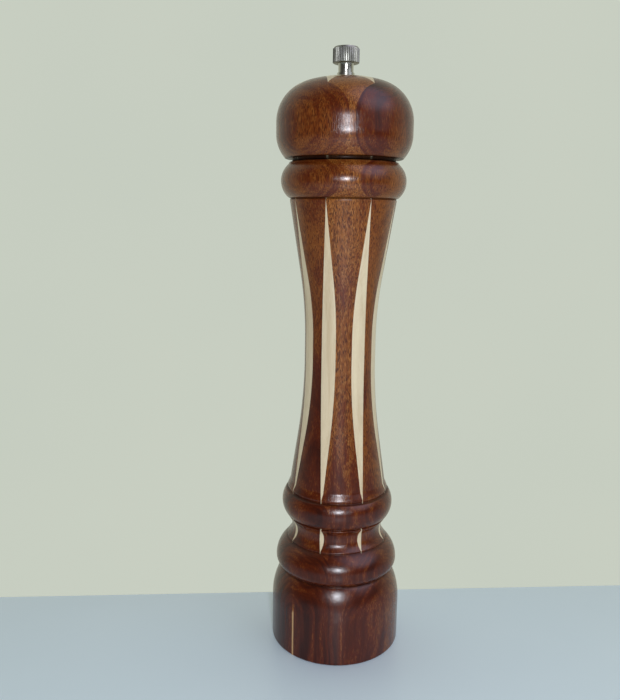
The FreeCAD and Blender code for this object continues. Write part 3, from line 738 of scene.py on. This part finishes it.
@dataclass
class Turning:
    """A turned and bored piece of the blank that is lofted strip by strip.

    Its bores are given by the height that each reaches up to and its radius.
    """

    body: str
    rows: Rows
    bores: tuple[Point2, ...]
    blank: Blank

    def hole(self, height: float) -> float:
        """The bore's radius at a height."""
        return next(radius for top, radius in self.bores if height < top)

    def levels(self, smallest: float) -> list[list[tuple[np.ndarray, float]]]:
        """Split the rows into the stretches where a strip is there at all.

        Args:
            smallest: The radius below which it isn't.

        Returns:
            For each stretch, its rows with the bore's radius, twice where the bore steps.
        """
        runs: list[list[tuple[np.ndarray, float]]] = []
        table = self.rows.table
        joined = False
        for before, here in zip(table[:-1], table[1:]):
            if min(before[0], here[0]) < smallest - NEAR:
                joined = False
                continue
            hole = self.hole((before[1] + here[1]) / 2)
            if not joined:
                runs.append([(before, hole)])
            elif runs[-1][-1][1] != hole:
                runs[-1].append((before, hole))
            runs[-1].append((here, hole))
            joined = True
        return runs

    def loft(self, loft: Loft, strip: Strip) -> None:
        """Add one strip's faces to a loft.

        Args:
            loft: The loft.
            strip: The strip.
        """
        for run in self.levels(strip.smallest(self.blank)):
            sections = [strip.section(self.blank, row[0], hole) for row, hole in run]
            rings = [self.ring(section, row[1]) for section, (row, _) in zip(sections, run)]
            order = slice(None, None, -1) if strip.mirrored else slice(None)
            for index in range(len(run) - 1):
                self.band(loft, strip, rings, sections, run, index)
            loft.face(rings[0][order][::-1])
            loft.face(rings[-1][order])

    @staticmethod
    def ring(section: Section, height: float) -> np.ndarray:
        """A section's points at a height."""
        return np.column_stack((section.points, np.full(len(section.points), height)))

    def band(self, loft: Loft, strip: Strip, rings: list[np.ndarray], sections: list[Section],
             run: list[tuple[np.ndarray, float]], index: int) -> None:
        """Add the faces between two neighbouring rows of one strip."""
        low, high = rings[index], rings[index + 1]
        below, above = run[index][0], run[index + 1][0]
        shared = set(sections[index].inside) & set(sections[index + 1].inside)
        count = len(low)
        for corner in range(count):
            if corner in shared:
                continue
            after = (corner + 1) % count
            points = np.array((low[corner], low[after], high[after], high[corner]))
            normals = None
            if corner < sections[index].turned:
                flat = points[:, :2] / np.maximum(
                    np.linalg.norm(points[:, :2], axis=1, keepdims=True), 1e-9)
                radial = np.array((below[2], below[2], above[2], above[2]))
                upward = np.array((below[3], below[3], above[3], above[3]))
                normals = np.column_stack((flat * radial[:, None], upward))
            if strip.mirrored:
                points = points[::-1]
                normals = None if normals is None else normals[::-1]
            loft.face(points, normals)

    def build(self, strips: list[Strip], finishes: dict[Grain, bpy.types.Material]) -> None:
        """Make every strip's piece and hang it on its body.

        Args:
            strips: The blank's strips. The core's eighths share one name and one piece.
            finishes: The wood materials.
        """
        for name in dict.fromkeys(strip.name for strip in strips):
            loft = Loft()
            members = [strip for strip in strips if strip.name == name]
            for strip in members:
                self.loft(loft, strip)
            first = members[0]
            node = f"{self.body}_{name}"
            # The third attribute is painted shade for the grooves and the gap under the head.
            mesh = loft.mesh(f"{node}_turned", {"board": first.place_in_board,
                                                "tone": first.tone_at, "dirt": painted_shade_at})
            piece = named_object(f"{node}_turned", mesh, finishes[first.grain])
            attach(piece, self.body)
            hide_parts(node)
            LOG.info("%s: %d faces", piece.name, len(mesh.polygons))


@dataclass
class WoodenParts:
    """The body and the head, turned from one blank."""

    blank: Blank = field(default_factory=Blank)
    panel_tones: tuple[tuple[float, ...], ...] = (
        (-0.30, -0.30, -0.26, -0.22, -0.04, 0.26, 0.34, 0.26, 0.22, 0.55),
        (-0.10, -0.08, -0.05, -0.05, 0.05, 0.20, 0.25, 0.10, 0.10, 0.20),
        (-0.20, -0.18, -0.15, 0.00, 0.10, 0.15, 0.20, 0.10, 0.15, 0.30),
        (-0.30, -0.28, -0.25, -0.20, -0.10, 0.00, 0.10, 0.00, 0.05, 0.20))
    corner_tones: tuple[tuple[float, ...], ...] = (
        (0.04, 0.00, -0.04, -0.04, 0.24, 0.30, 0.42, 0.28, -0.12, -0.26),
        (0.00, 0.00, 0.00, 0.05, 0.15, 0.20, 0.15, 0.10, 0.05, 0.10),
        (-0.15, -0.13, -0.10, 0.00, 0.05, 0.10, 0.20, 0.10, 0.10, 0.15),
        (2.00, -0.20, -0.18, -0.16, -0.04, 0.02, 0.38, 0.16, 0.02, 0.00))
    stave_tones: tuple[tuple[float, ...], ...] = (
        (-0.20, -0.20, -0.18, -0.16, 0.00, 0.00, 0.00, 0.28, -0.14, -0.28),
        (0.04, 0.00, -0.04, -0.04, 0.00, 0.00, 0.00, 0.30, -0.10, -0.22),
        (-0.05, -0.03, 0.00, 0.02, 0.00, 0.00, 0.00, 0.10, 0.05, 0.08),
        (0.00, 0.00, 0.00, 0.05, 0.00, 0.00, 0.00, 0.10, 0.06, 0.10),
        (-0.16, -0.15, -0.12, -0.04, 0.00, 0.00, 0.00, 0.08, 0.08, 0.10),
        (-0.12, -0.11, -0.10, -0.02, 0.00, 0.00, 0.00, 0.10, 0.10, 0.14),
        (-0.26, -0.26, -0.22, -0.20, 0.00, 0.00, 0.00, 0.12, -0.02, -0.04),
        (-0.24, -0.24, -0.20, -0.18, 0.00, 0.00, 0.00, 0.20, 0.02, 0.02))
    body_bores: tuple[Point2, ...] = ((9.5, 24.5), (35.5, 19.0), (math.inf, 12.5))
    head_bores: tuple[Point2, ...] = ((291.0, 4.59), (math.inf, 2.9))
    longest_step: float = 1.2
    seed: int = 11

    def strips(self) -> list[Strip]:
        """List the blank's strips, each with a place of its own in its board."""
        source = np.random.default_rng(self.seed)

        def board() -> tuple[float, float, float]:
            """A fresh place in the stack of boards."""
            return tuple(float(value) for value in source.uniform(-400.0, 400.0, 3))

        made = []
        core_board = board()
        for eighth in range(8):
            made.append(Strip(StripKind.CORE, "light_core", Grain.PALE,
                              QUARTER * ((eighth + 1) // 2), eighth % 2 == 1,
                              (0.0,) * len(TONE_HEIGHTS), core_board,
                              columns=6, hole_columns=6))
        for index in range(4):
            made.append(Strip(StripKind.PANEL, f"panel_rod_{index + 1}", Grain.STRIPED,
                              QUARTER * index, False, self.panel_tones[index], board()))
        corners = [board() for _ in range(4)]
        for index in range(4):
            made.append(Strip(StripKind.CORNER, f"corner_rod_{index + 1}", Grain.RED,
                              QUARTER * index, False, self.corner_tones[index], corners[index],
                              QUARTER / 2))
        for index in range(1, 9):
            made.append(Strip(StripKind.STAVE, f"outer_stave_{index}", Grain.RED,
                              QUARTER * (index // 2), index % 2 == 0,
                              self.stave_tones[index - 1], corners[(index - 1) // 2],
                              QUARTER / 2, columns=12))
        return made

    @staticmethod
    def body_outline() -> Outline:
        """The body's outline from its foot to the top of its collar."""
        line = Outline((34.4, 0.0)).arc(35.4, 1.0, 1.0).line(35.4, 24.0)
        line.arc(30.845, 41.0, 34.0).line(29.945, 42.2).line(31.162, 43.4)
        line.arc(33.3, 47.5, 5.0).arc(28.208, 58.3, 14.0).line(27.011, 59.15)
        line.line(27.311, 60.0).arc(24.7, 66.0, 8.2, True).arc(27.103, 71.8, 8.2, True)
        line.line(26.203, 72.6).line(28.118, 73.4).arc(28.255, 86.4, 11.5)
        line.line(26.85, 87.0).line(27.3, 88.4).line(25.836, 92.0).line(21.934, 118.0)
        line.arc(18.8, 160.0, 283.0, True).line(18.8, 171.0).arc(21.422, 204.0, 209.0, True)
        line.line(27.466, 241.8).line(26.916, 242.4).line(28.332, 243.0)
        return line.arc(28.332, 259.4, 11.0).line(27.732, 260.4)

    @staticmethod
    def head_outline() -> Outline:
        """The head's outline from its tenon to the knob's seat."""
        line = Outline((11.6, 249.9)).line(12.2, 250.5).line(12.2, 260.9).line(26.283, 260.9)
        line.line(26.283, 262.2).line(29.883, 262.2).arc(34.55, 273.9, 17.0)
        return line.line(34.55, 279.9).arc(20.37, 299.035, 20.0).arc(4.7, 301.9, 70.0)

    def build(self) -> None:
        """Make every wooden piece."""
        finishes = {grain: finish.build() for grain, finish in WOODS.items()}
        for body, outline, bores in (("body", self.body_outline(), self.body_bores),
                                     ("head", self.head_outline(), self.head_bores)):
            rows = outline.rows(self.longest_step, self.blank.radii(),
                                [top for top, _ in bores[:-1]])
            Turning(body, rows, bores, self.blank).build(self.strips(), finishes)


# --------------------------------------------------------------------------- the metal


class GeometryTree(NodeGraph):
    """A Geometry Nodes tree with named inputs, built up and then baked."""

    def __init__(self, name: str, **sizes: float) -> None:
        """Start a tree that takes a geometry and some sizes in metres, turns or counts.

        Args:
            name: The tree's name.
            **sizes: Its named inputs and their values. A whole number makes a count.
        """
        self.tree = bpy.data.node_groups.new(name, "GeometryNodeTree")
        super().__init__(self.tree)
        sockets = self.tree.interface
        sockets.new_socket("Geometry", in_out="INPUT", socket_type="NodeSocketGeometry")
        sockets.new_socket("Geometry", in_out="OUTPUT", socket_type="NodeSocketGeometry")
        self.values = {}
        for key, value in sizes.items():
            kind = "NodeSocketInt" if isinstance(value, int) else "NodeSocketFloat"
            made = sockets.new_socket(key, in_out="INPUT", socket_type=kind)
            self.values[made.identifier] = value
        self.input = self.node("NodeGroupInput")

    def size(self, name: str) -> bpy.types.NodeSocket:
        """One of the tree's inputs."""
        return self.input.outputs[name]

    def join(self, *parts: bpy.types.NodeSocket) -> bpy.types.NodeSocket:
        """Join some geometries and return the result."""
        both = self.node("GeometryNodeJoinGeometry")
        for part in parts:
            self.links.new(part, both.inputs[0])
        return both.outputs[0]

    def ring(self, count: bpy.types.NodeSocket, radius: bpy.types.NodeSocket,
             height: bpy.types.NodeSocket, first: bpy.types.NodeSocket | float = 0.0,
             ) -> tuple[bpy.types.NodeSocket, bpy.types.NodeSocket]:
        """Set points round the axis.

        Args:
            count: How many.
            radius: The circle's radius.
            height: The circle's height.
            first: The first point's angle.

        Returns:
            The points, and each one's angle.
        """
        index = self.node("GeometryNodeInputIndex").outputs[0]
        step = self.math("DIVIDE", self.times(index, 2 * math.pi), count)
        turn = self.plus(first, step)
        points = self.node("GeometryNodePoints", {
            "Count": count, "Position": self.around(radius, turn, height), "Radius": 0.001})
        return points.outputs[0], turn

    def around(self, radius: bpy.types.NodeSocket, turn: bpy.types.NodeSocket,
               height: bpy.types.NodeSocket) -> bpy.types.NodeSocket:
        """The place at an angle and a radius round the axis, and at a height."""
        return self.vector(self.times(radius, self.math("COSINE", turn)),
                           self.times(radius, self.math("SINE", turn)), height)

    def vector(self, x: object, y: object, z: object) -> bpy.types.NodeSocket:
        """Combine three numbers into a vector."""
        return self.node("ShaderNodeCombineXYZ", {0: x, 1: y, 2: z}).outputs[0]

    def bake(self, blank: bpy.types.Object, geometry: bpy.types.NodeSocket,
             material: bpy.types.Material, keep_blank: bool) -> bpy.types.Object:
        """Send a geometry to the output, run the tree on an object and keep its mesh.

        Args:
            blank: The object that the tree works on.
            geometry: What the tree makes.
            material: The finish.
            keep_blank: True if the object's own mesh stays beside what is made.

        Returns:
            The same object, with the finished mesh.
        """
        if keep_blank:
            geometry = self.join(self.size("Geometry"), geometry)
        real = self.node("GeometryNodeRealizeInstances", {0: geometry})
        dressed = self.node("GeometryNodeSetMaterial", {"Geometry": real.outputs[0],
                                                        "Material": material})
        self.node("NodeGroupOutput", {0: dressed.outputs[0]})
        modifier = blank.modifiers.new("tree", "NODES")
        modifier.node_group = self.tree
        for identifier, value in self.values.items():
            modifier[identifier] = value
        bpy.context.view_layer.update()
        ready = blank.evaluated_get(bpy.context.evaluated_depsgraph_get())
        mesh = bpy.data.meshes.new_from_object(ready)
        blank.modifiers.clear()
        blank.data = mesh
        mesh.materials.clear()
        mesh.materials.append(material)
        return blank


def lathe(name: str, line: Sequence[Point2], sides: int = 64,
          sharp: float = 28.0) -> bpy.types.Object:
    """Turn a closed line of radius and height, in millimetres, once round the axis.

    Args:
        name: The new object's name.
        line: The line's points, counter-clockwise with the radius to the right. Points on
            the axis make a pole.
        sides: How many steps the turn has.
        sharp: Edges with a larger angle than this, in degrees, stay sharp.

    Returns:
        The turned object.
    """
    points, rings = [], []
    for radius, height in line:
        if radius < TINY:
            rings.append([len(points)] * sides)
            points.append((0.0, 0.0, height * MM))
            continue
        rings.append(list(range(len(points), len(points) + sides)))
        points += [(radius * MM * math.cos(2 * math.pi * step / sides),
                    radius * MM * math.sin(2 * math.pi * step / sides), height * MM)
                   for step in range(sides)]
    faces = []
    closed = line[0][0] > TINY
    for index in range(len(line) if closed else len(line) - 1):
        low, high = rings[index], rings[(index + 1) % len(line)]
        for step in range(sides):
            after = (step + 1) % sides
            corners = list(dict.fromkeys((low[step], low[after], high[after], high[step])))
            if len(corners) > 2:
                faces.append(corners)
    mesh = bpy.data.meshes.new(name)
    mesh.from_pydata(points, [], faces)
    mesh.polygons.foreach_set("use_smooth", [True] * len(faces))
    mesh.update()
    mesh.set_sharp_from_angle(angle=math.radians(sharp))
    return named_object(name, mesh)


@dataclass
class Knob:
    """The knurled nut on the shaft's stud, with its ridges sized in knurl depths."""

    bottom: float = 303.706
    knurl_bottom: float = 308.306
    knurl_top: float = 315.406
    top: float = 315.906
    neck: float = 3.8
    radius: float = 6.65
    knurl_depth: float = 0.25
    bore: float = 2.55
    bore_top: float = 314.306
    ridges: int = 40
    ridge_side: float = 2.1
    ridge_sink: float = 1.55
    ease: float = 0.2
    fillet: float = 0.5

    def line(self) -> list[Point2]:
        """The outline of the turned blank, from its bore round to its top."""
        core = self.radius - self.knurl_depth
        low, high = self.knurl_bottom, self.knurl_top
        ease, fillet = self.ease, self.fillet
        return [(0.0, self.bore_top), (self.bore, self.bore_top), (self.bore, self.bottom + ease),
                (self.bore + ease, self.bottom), (self.neck - ease, self.bottom),
                (self.neck, self.bottom + ease), (self.neck, low - fillet),
                (self.neck + 0.15, low - 0.15), (self.neck + fillet, low), (core - 0.5, low),
                (core - 0.12, low + 0.1), (core, low + 0.45), (core, high - 0.35),
                (core - 0.15, high - 0.05), (6.0, self.top - 0.05), (5.8, self.top),
                (0.0, self.top)]

    def polish_neck(self, piece: bpy.types.Object, nickel: bpy.types.Material) -> None:
        """Give the nut's neck the brighter finish."""
        piece.data.materials.append(nickel)
        limit = (self.knurl_bottom - self.ease) * MM
        for face in piece.data.polygons:
            if face.center.z < limit:
                face.material_index = 1

    def build(self, satin: bpy.types.Material, nickel: bpy.types.Material) -> None:
        """Make the nut and set its ridges round it."""
        height = self.knurl_top - self.knurl_bottom - 0.5
        tree = GeometryTree("knurl", Ridges=self.ridges, Radius=self.radius * MM,
                            Depth=self.knurl_depth * MM, Height=height * MM,
                            Middle=(self.knurl_top + self.knurl_bottom) / 2 * MM)
        inner = tree.minus(tree.size("Radius"),
                           tree.times(tree.size("Depth"), self.ridge_sink))
        spots, turn = tree.ring(tree.size("Ridges"), inner, tree.size("Middle"))
        side = tree.times(tree.size("Depth"), self.ridge_side)
        ridge = tree.node("GeometryNodeMeshCube", {
            "Size": tree.vector(side, side, tree.size("Height"))})
        eased = tree.node("GeometryNodeTransform", {
            "Geometry": ridge.outputs[0], "Rotation": (0.0, 0.0, math.pi / 4)})
        placed = tree.node("GeometryNodeInstanceOnPoints", {
            "Points": spots, "Instance": eased.outputs[0],
            "Rotation": tree.vector(0.0, 0.0, turn)})
        piece = tree.bake(lathe("knob_turned", self.line()), placed.outputs[0], satin, True)
        self.polish_neck(piece, nickel)
        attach(piece, "knob")
        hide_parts("adjusting_knob")


@dataclass
class Shaft:
    """The square shaft with its eased edges and the thread on its stud."""

    side: float = 6.0
    bottom: float = 7.0
    shoulder: float = 289.906
    top: float = 313.706
    stud: float = 2.5
    pitch: float = 0.8
    ease: float = 0.4
    end_share: float = 0.92
    end_ease: float = 0.3
    thread: float = 0.36
    core_inset: float = 0.38
    run_out: float = 2.0
    overlap: float = 0.5

    def bar(self) -> bpy.types.Object:
        """Make the square bar with its eased edges and chamfered ends, in one mesh."""
        half, ease = self.side / 2, self.ease
        section = [(half, half - ease), (half - ease, half), (ease - half, half),
                   (-half, half - ease), (-half, ease - half), (ease - half, -half),
                   (half - ease, -half), (half, ease - half)]
        levels = [(self.bottom, self.end_share), (self.bottom + self.end_ease, 1.0),
                  (self.shoulder - self.end_ease, 1.0), (self.shoulder, self.end_share)]
        points = [(x * share * MM, y * share * MM, height * MM)
                  for height, share in levels for x, y in section]
        count = len(section)
        faces = [list(range(count))[::-1],
                 [count * (len(levels) - 1) + corner for corner in range(count)]]
        for level in range(len(levels) - 1):
            for corner in range(count):
                after = (corner + 1) % count
                faces.append([level * count + corner, level * count + after,
                              (level + 1) * count + after, (level + 1) * count + corner])
        mesh = bpy.data.meshes.new("shaft_bar")
        mesh.from_pydata(points, [], faces)
        return named_object("shaft_turned", mesh)

    def build(self, material: bpy.types.Material) -> None:
        """Make the bar and wind the thread on its stud."""
        length = self.top - self.shoulder
        threaded = length - self.run_out
        tree = GeometryTree("thread", Turns=threaded / self.pitch,
                            Radius=(self.stud - self.thread) * MM, Height=threaded * MM,
                            Start=(self.shoulder + self.pitch) * MM,
                            Core=(self.stud - self.core_inset) * MM,
                            Length=(length + self.overlap) * MM, Thread=self.thread * MM)
        wound = tree.node("GeometryNodeCurveSpiral", {
            "Resolution": 20, "Rotations": tree.size("Turns"), "Start Radius": tree.size("Radius"),
            "End Radius": tree.size("Radius"), "Height": tree.size("Height")})
        raised = tree.node("GeometryNodeTransform", {
            "Geometry": wound.outputs[0],
            "Translation": tree.vector(0.0, 0.0, tree.size("Start"))})
        rib = tree.node("GeometryNodeCurvePrimitiveCircle", {"Resolution": 5,
                                                             "Radius": tree.size("Thread")})
        thread = tree.node("GeometryNodeCurveToMesh", {
            "Curve": raised.outputs[0], "Profile Curve": rib.outputs[0], "Fill Caps": True})
        stud = tree.node("GeometryNodeMeshCylinder", {
            "Vertices": 32, "Radius": tree.size("Core"), "Depth": tree.size("Length")})
        middle = tree.minus(self.top * MM, tree.times(tree.size("Length"), 0.5))
        lifted = tree.node("GeometryNodeTransform", {
            "Geometry": stud.outputs[0], "Translation": tree.vector(0.0, 0.0, middle)})
        both = tree.join(thread.outputs[0], lifted.outputs[0])
        piece = tree.bake(self.bar(), both, material, True)
        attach(piece, "shaft")
        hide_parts("drive_shaft")


@dataclass
class Spring:
    """The coil between the thrust washer and the rotor, with its last turns closed."""

    low: float = 20.0
    high: float = 32.3
    radius: float = 5.293
    wire: float = 0.5
    turns: float = 7.0
    closed: float = 0.14
    points: int = 240

    def build(self, material: bpy.types.Material) -> None:
        """Wind the spring."""
        tree = GeometryTree("spring", Points=self.points, Turns=self.turns,
                            Radius=self.radius * MM, Wire=self.wire * MM, Low=self.low * MM,
                            High=self.high * MM, Closed=self.closed)
        line = tree.node("GeometryNodeMeshLine", {"Count": tree.size("Points")})
        index = tree.node("GeometryNodeInputIndex").outputs[0]
        share = tree.math("DIVIDE", index, tree.minus(tree.size("Points"), 1.0))
        turn = tree.times(share, tree.times(tree.size("Turns"), 2 * math.pi))
        coil = tree.node("ShaderNodeMapRange", {
            "Value": share, "From Min": tree.size("Closed"),
            "From Max": tree.minus(1.0, tree.size("Closed")),
            "To Min": tree.plus(tree.size("Low"), tree.size("Wire")),
            "To Max": tree.minus(tree.size("High"), tree.size("Wire"))})
        ends = tree.node("ShaderNodeMapRange", {
            "Value": share, "From Min": 0.0, "From Max": 1.0,
            "To Min": tree.times(tree.size("Wire"), -1.0),
            "To Max": tree.size("Wire")})
        height = tree.plus(coil.outputs[0], ends.outputs[0])
        placed = tree.node("GeometryNodeSetPosition", {
            "Geometry": line.outputs[0],
            "Position": tree.around(tree.size("Radius"), turn, height)})
        path = tree.node("GeometryNodeMeshToCurve", {0: placed.outputs[0]})
        ring = tree.node("GeometryNodeCurvePrimitiveCircle", {"Resolution": 12,
                                                              "Radius": tree.size("Wire")})
        wound = tree.node("GeometryNodeCurveToMesh", {
            "Curve": path.outputs[0], "Profile Curve": ring.outputs[0], "Fill Caps": True})
        blank = named_object("spring_wound", bpy.data.meshes.new("spring_blank"))
        piece = tree.bake(blank, wound.outputs[0], material, False)
        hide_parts("spring")
        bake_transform(piece)


@dataclass
class ScrewRing:
    """A ring of pan-head screws with slotted heads, driven upwards.

    The crown gives depths below the seat, from the slot's floor down, and shares of the radius.
    """

    node: str
    body: str
    circle: float
    count: int
    first_turn: float
    seat: float
    head_radius: float = 2.1
    rim: float = 0.12
    crown: tuple[Point2, ...] = ((0.85, 1.0), (1.15, 0.985), (1.5, 0.80))
    shank: float = 1.25
    length: float = 8.0
    slot_width: float = 0.6
    slot_turn: float = 0.7
    thread_step: float = 0.8
    thread_depth: float = 0.28
    last_thread: float = 1.6
    point: float = 1.4
    point_inset: float = 0.2

    def screw(self) -> bpy.types.Object:
        """Make one screw at the origin: its shank with a coarse thread, and its lower head."""
        floor, half_step = self.crown[0][0], self.thread_step / 2
        line = [(0.0, -floor), (self.head_radius, -floor), (self.head_radius, -self.rim),
                (self.head_radius - self.rim, 0.0), (self.shank, 0.0)]
        height = half_step
        while height < self.length - self.last_thread:
            line += [(self.shank, height), (self.shank - self.thread_depth, height + half_step)]
            height += self.thread_step
        line += [(self.shank - self.point_inset, self.length - self.point), (0.0, self.length)]
        made = lathe(f"{self.node}_turned", line, 24)
        corners: list[tuple[float, float, float]] = []
        faces: list[list[int]] = []
        edge = math.asin(self.slot_width / 2 / self.head_radius)
        for side in (0.0, math.pi):
            angles = np.linspace(edge + side, math.pi - edge + side, 11)
            start = len(corners)
            for depth, share in self.crown:
                corners += [(self.head_radius * share * math.cos(angle) * MM,
                             self.head_radius * share * math.sin(angle) * MM, -depth * MM)
                            for angle in angles]
            count = len(angles)
            for row in range(2):
                for step in range(count):
                    after = (step + 1) % count
                    faces.append([start + row * count + after, start + row * count + step,
                                  start + (row + 1) * count + step,
                                  start + (row + 1) * count + after])
            faces.append([start + step for step in range(count)])
            faces.append([start + 2 * count + step for step in range(count)][::-1])
        mesh = bpy.data.meshes.new("slotted_head")
        mesh.from_pydata(corners, [], faces)
        head = named_object("slotted_head", mesh)
        with bpy.context.temp_override(active_object=made, selected_editable_objects=[made, head]):
            bpy.ops.object.join()
        return made

    def build(self, material: bpy.types.Material) -> None:
        """Set the screws round their circle."""
        tree = GeometryTree("screw_ring", Count=self.count, Circle=self.circle * MM,
                            First=self.first_turn, Seat=self.seat * MM)
        spots, _ = tree.ring(tree.size("Count"), tree.size("Circle"), tree.size("Seat"),
                             tree.size("First"))
        index = tree.node("GeometryNodeInputIndex").outputs[0]
        placed = tree.node("GeometryNodeInstanceOnPoints", {
            "Points": spots, "Instance": tree.size("Geometry"),
            "Rotation": tree.vector(0.0, 0.0, tree.times(index, self.slot_turn))})
        piece = tree.bake(self.screw(), placed.outputs[0], material, False)
        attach(piece, self.body)
        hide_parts(self.node)


@dataclass
class MetalParts:
    """The metal pieces: some made here, the others with their CAD meshes and a finish."""

    finishes: dict[str, str] = field(default_factory=lambda: {
        "knob_washer": "nickel", "drive_plate": "zinc", "bridge_bar": "zinc",
        "thrust_washer": "zinc", "rotor_clip": "zinc", "rotor": "hard", "stator": "hard"})
    screws: tuple[ScrewRing, ...] = (
        ScrewRing("stator_screws", "body", 21.5, 3, math.pi / 2, 7.9),
        ScrewRing("bridge_screws", "body", 15.75, 2, 0.0, 34.0),
        ScrewRing("drive_plate_screws", "head", 8.096, 2, 0.0, 248.7))

    def build(self) -> None:
        """Make or finish every one."""
        made = {name: METALS[name].build() for name in METALS}
        for node, name in self.finishes.items():
            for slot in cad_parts[node].material_slots:
                slot.material = made[name]
        Knob().build(made["satin"], made["nickel"])
        Shaft().build(made["aluminium"])
        Spring().build(made["spring"])
        for ring in self.screws:
            ring.build(made["screw"])


# --------------------------------------------------------------------------- the studio


@dataclass
class Studio:
    """A plain pale floor, a soft key light, a big soft window and the camera."""

    distance: float = 0.3783
    height: float = 0.2354
    azimuth: float = -6.0
    yaw: float = 2.43
    pitch: float = 10.80
    roll: float = 0.75
    focal_share: float = 720.1 / 700.0
    sensor: float = 36.0
    sky_azimuth: float = 62.0
    sky_elevation: float = 50.0
    sky_colour: Colour = (1.6, 1.5, 2.0)
    foot: float = 0.034
    floor_reach: float = 1.2
    floor_behind: float = 0.042

    def direction(self, azimuth: float, elevation: float) -> tuple[float, float, float]:
        """The way to something, from its degrees round from the camera's side and upwards."""
        around, up = math.radians(azimuth + self.azimuth), math.radians(elevation)
        return (math.sin(around) * math.cos(up), -math.cos(around) * math.cos(up), math.sin(up))

    def camera(self) -> None:
        """Put the camera in front of the mill and a little to its left."""
        data = bpy.data.cameras.new("camera")
        data.sensor_width = self.sensor
        data.lens = self.focal_share * self.sensor
        made = bpy.data.objects.new("camera", data)
        bpy.context.scene.collection.objects.link(made)
        yaw, pitch, roll = (math.radians(value) for value in (self.yaw, self.pitch, self.roll))
        forward = Vector((-math.sin(yaw) * math.cos(pitch), math.cos(yaw) * math.cos(pitch),
                          -math.sin(pitch)))
        right = Vector((math.cos(yaw), math.sin(yaw), 0.0))
        above = right.cross(forward)
        tilted = right * math.cos(roll) + above * math.sin(roll)
        up = above * math.cos(roll) - right * math.sin(roll)
        turn = Matrix.Rotation(math.radians(self.azimuth), 4, "Z")
        base = Matrix((tilted, up, -forward)).transposed().to_4x4()
        made.matrix_world = turn @ Matrix.Translation((0.0, -self.distance, self.height)) @ base
        bpy.context.scene.camera = made

    def lamp(self, name: str, azimuth: float, elevation: float, distance: float, size: float,
             power: float, colour: Colour, aim: float = 0.18) -> None:
        """Add a round soft light that faces the mill.

        Args:
            name: Its name.
            azimuth: Degrees round from the camera's side, towards the viewer's right.
            elevation: Degrees above the horizontal, seen from the point it faces.
            distance: How far it stands from that point, in metres.
            size: Its diameter, in metres.
            power: In watts.
            colour: Its colour.
            aim: The height that it faces, in metres.
        """
        data = bpy.data.lights.new(name, "AREA")
        data.shape, data.size, data.energy, data.color = "DISK", size, power, colour
        made = bpy.data.objects.new(name, data)
        bpy.context.scene.collection.objects.link(made)
        back = Vector(self.direction(azimuth, elevation))
        made.location = Vector((0.0, 0.0, aim)) + back * distance
        made.rotation_mode = "QUATERNION"
        made.rotation_quaternion = back.to_track_quat("Z", "Y")

    def lights(self) -> None:
        """Add the lamps and the even light of a pale room, dimmer on the viewer's side."""
        self.lamp("key_light", azimuth=4.5, elevation=8.5, distance=0.72, size=0.13, power=3.7,
                  colour=(0.93, 0.96, 1.04))
        self.lamp("window_light", azimuth=58.0, elevation=30.0, distance=0.9, size=0.8,
                  power=1.2, colour=(0.82, 0.89, 1.0))
        world = bpy.data.worlds.new("pale_room")
        graph = ShaderGraph(world)
        direction = graph.node("ShaderNodeTexCoord").outputs["Generated"]
        away = graph.node("ShaderNodeVectorMath", {
            0: direction, 1: (math.sin(math.radians(-self.azimuth)), 1.0, 0.15)},
            operation="DOT_PRODUCT").outputs["Value"]
        wall = graph.ramp(away, -0.35, 0.55)
        lit = graph.mix(wall, (0.075, 0.070, 0.066), (0.62, 0.64, 0.53))
        path = graph.node("ShaderNodeLightPath")
        seen = path.outputs["Is Camera Ray"]
        window = self.direction(self.sky_azimuth, self.sky_elevation)
        sky = graph.node("ShaderNodeVectorMath", {0: direction, 1: window},
                         operation="DOT_PRODUCT").outputs["Value"]
        sheen = graph.times(graph.ramp(sky, 0.80, 0.95), path.outputs["Is Glossy Ray"])
        lit = graph.mix(sheen, lit, self.sky_colour)
        cloud = graph.noise(direction, 2.2, 3.0)
        pale = graph.mix(cloud, (0.545, 0.595, 0.520), (0.600, 0.635, 0.545))
        colour = graph.mix(seen, lit, pale)
        background = graph.node("ShaderNodeBackground", {"Color": colour})
        graph.node("ShaderNodeOutputWorld", {"Surface": background.outputs[0]})
        bpy.context.scene.world = world
        bpy.context.scene.view_settings.view_transform = "Standard"

    def floor(self) -> None:
        """Lay a pale table with its far edge close behind the mill, clear from below.

        It is also clear under the foot, so that light reaches the mill's underside.
        """
        reach, behind = self.floor_reach, self.floor_behind
        mesh = bpy.data.meshes.new("floor")
        mesh.from_pydata([(-reach, -reach, 0.0), (reach, -reach, 0.0), (reach, behind, 0.0),
                          (-reach, behind, 0.0)], [], [(0, 1, 2, 3)])
        graph = ShaderGraph(bpy.data.materials.new("pale_floor"))
        place = graph.node("ShaderNodeTexCoord").outputs["Object"]
        cloud = graph.noise(place, 9.0, 3.0)
        colour = graph.mix(cloud, (0.68, 0.81, 0.93), (0.74, 0.86, 0.97))
        shader = graph.node("ShaderNodeBsdfPrincipled", {
            "Base Color": colour, "Roughness": 0.35, "Specular IOR Level": 0.5})
        below = graph.node("ShaderNodeNewGeometry").outputs["Backfacing"]
        radius = graph.node("ShaderNodeVectorMath", {0: place}, operation="LENGTH")
        hidden = graph.math("LESS_THAN", radius.outputs["Value"], self.foot)
        clear = graph.node("ShaderNodeBsdfTransparent")
        shown = graph.node("ShaderNodeMixShader", {0: graph.math("MAXIMUM", below, hidden),
                                                   1: shader.outputs[0], 2: clear.outputs[0]})
        named_object("floor", mesh, graph.finish(shown.outputs[0]))

    def build(self) -> None:
        """Build the whole studio."""
        self.camera()
        self.lights()
        self.floor()


def main() -> None:
    """Build the mill's looks and the studio."""
    logging.basicConfig(level=logging.INFO, format="%(name)s: %(message)s")
    Studio().build()
    WoodenParts().build()
    MetalParts().build()


if __name__ == "__main__":
    main()
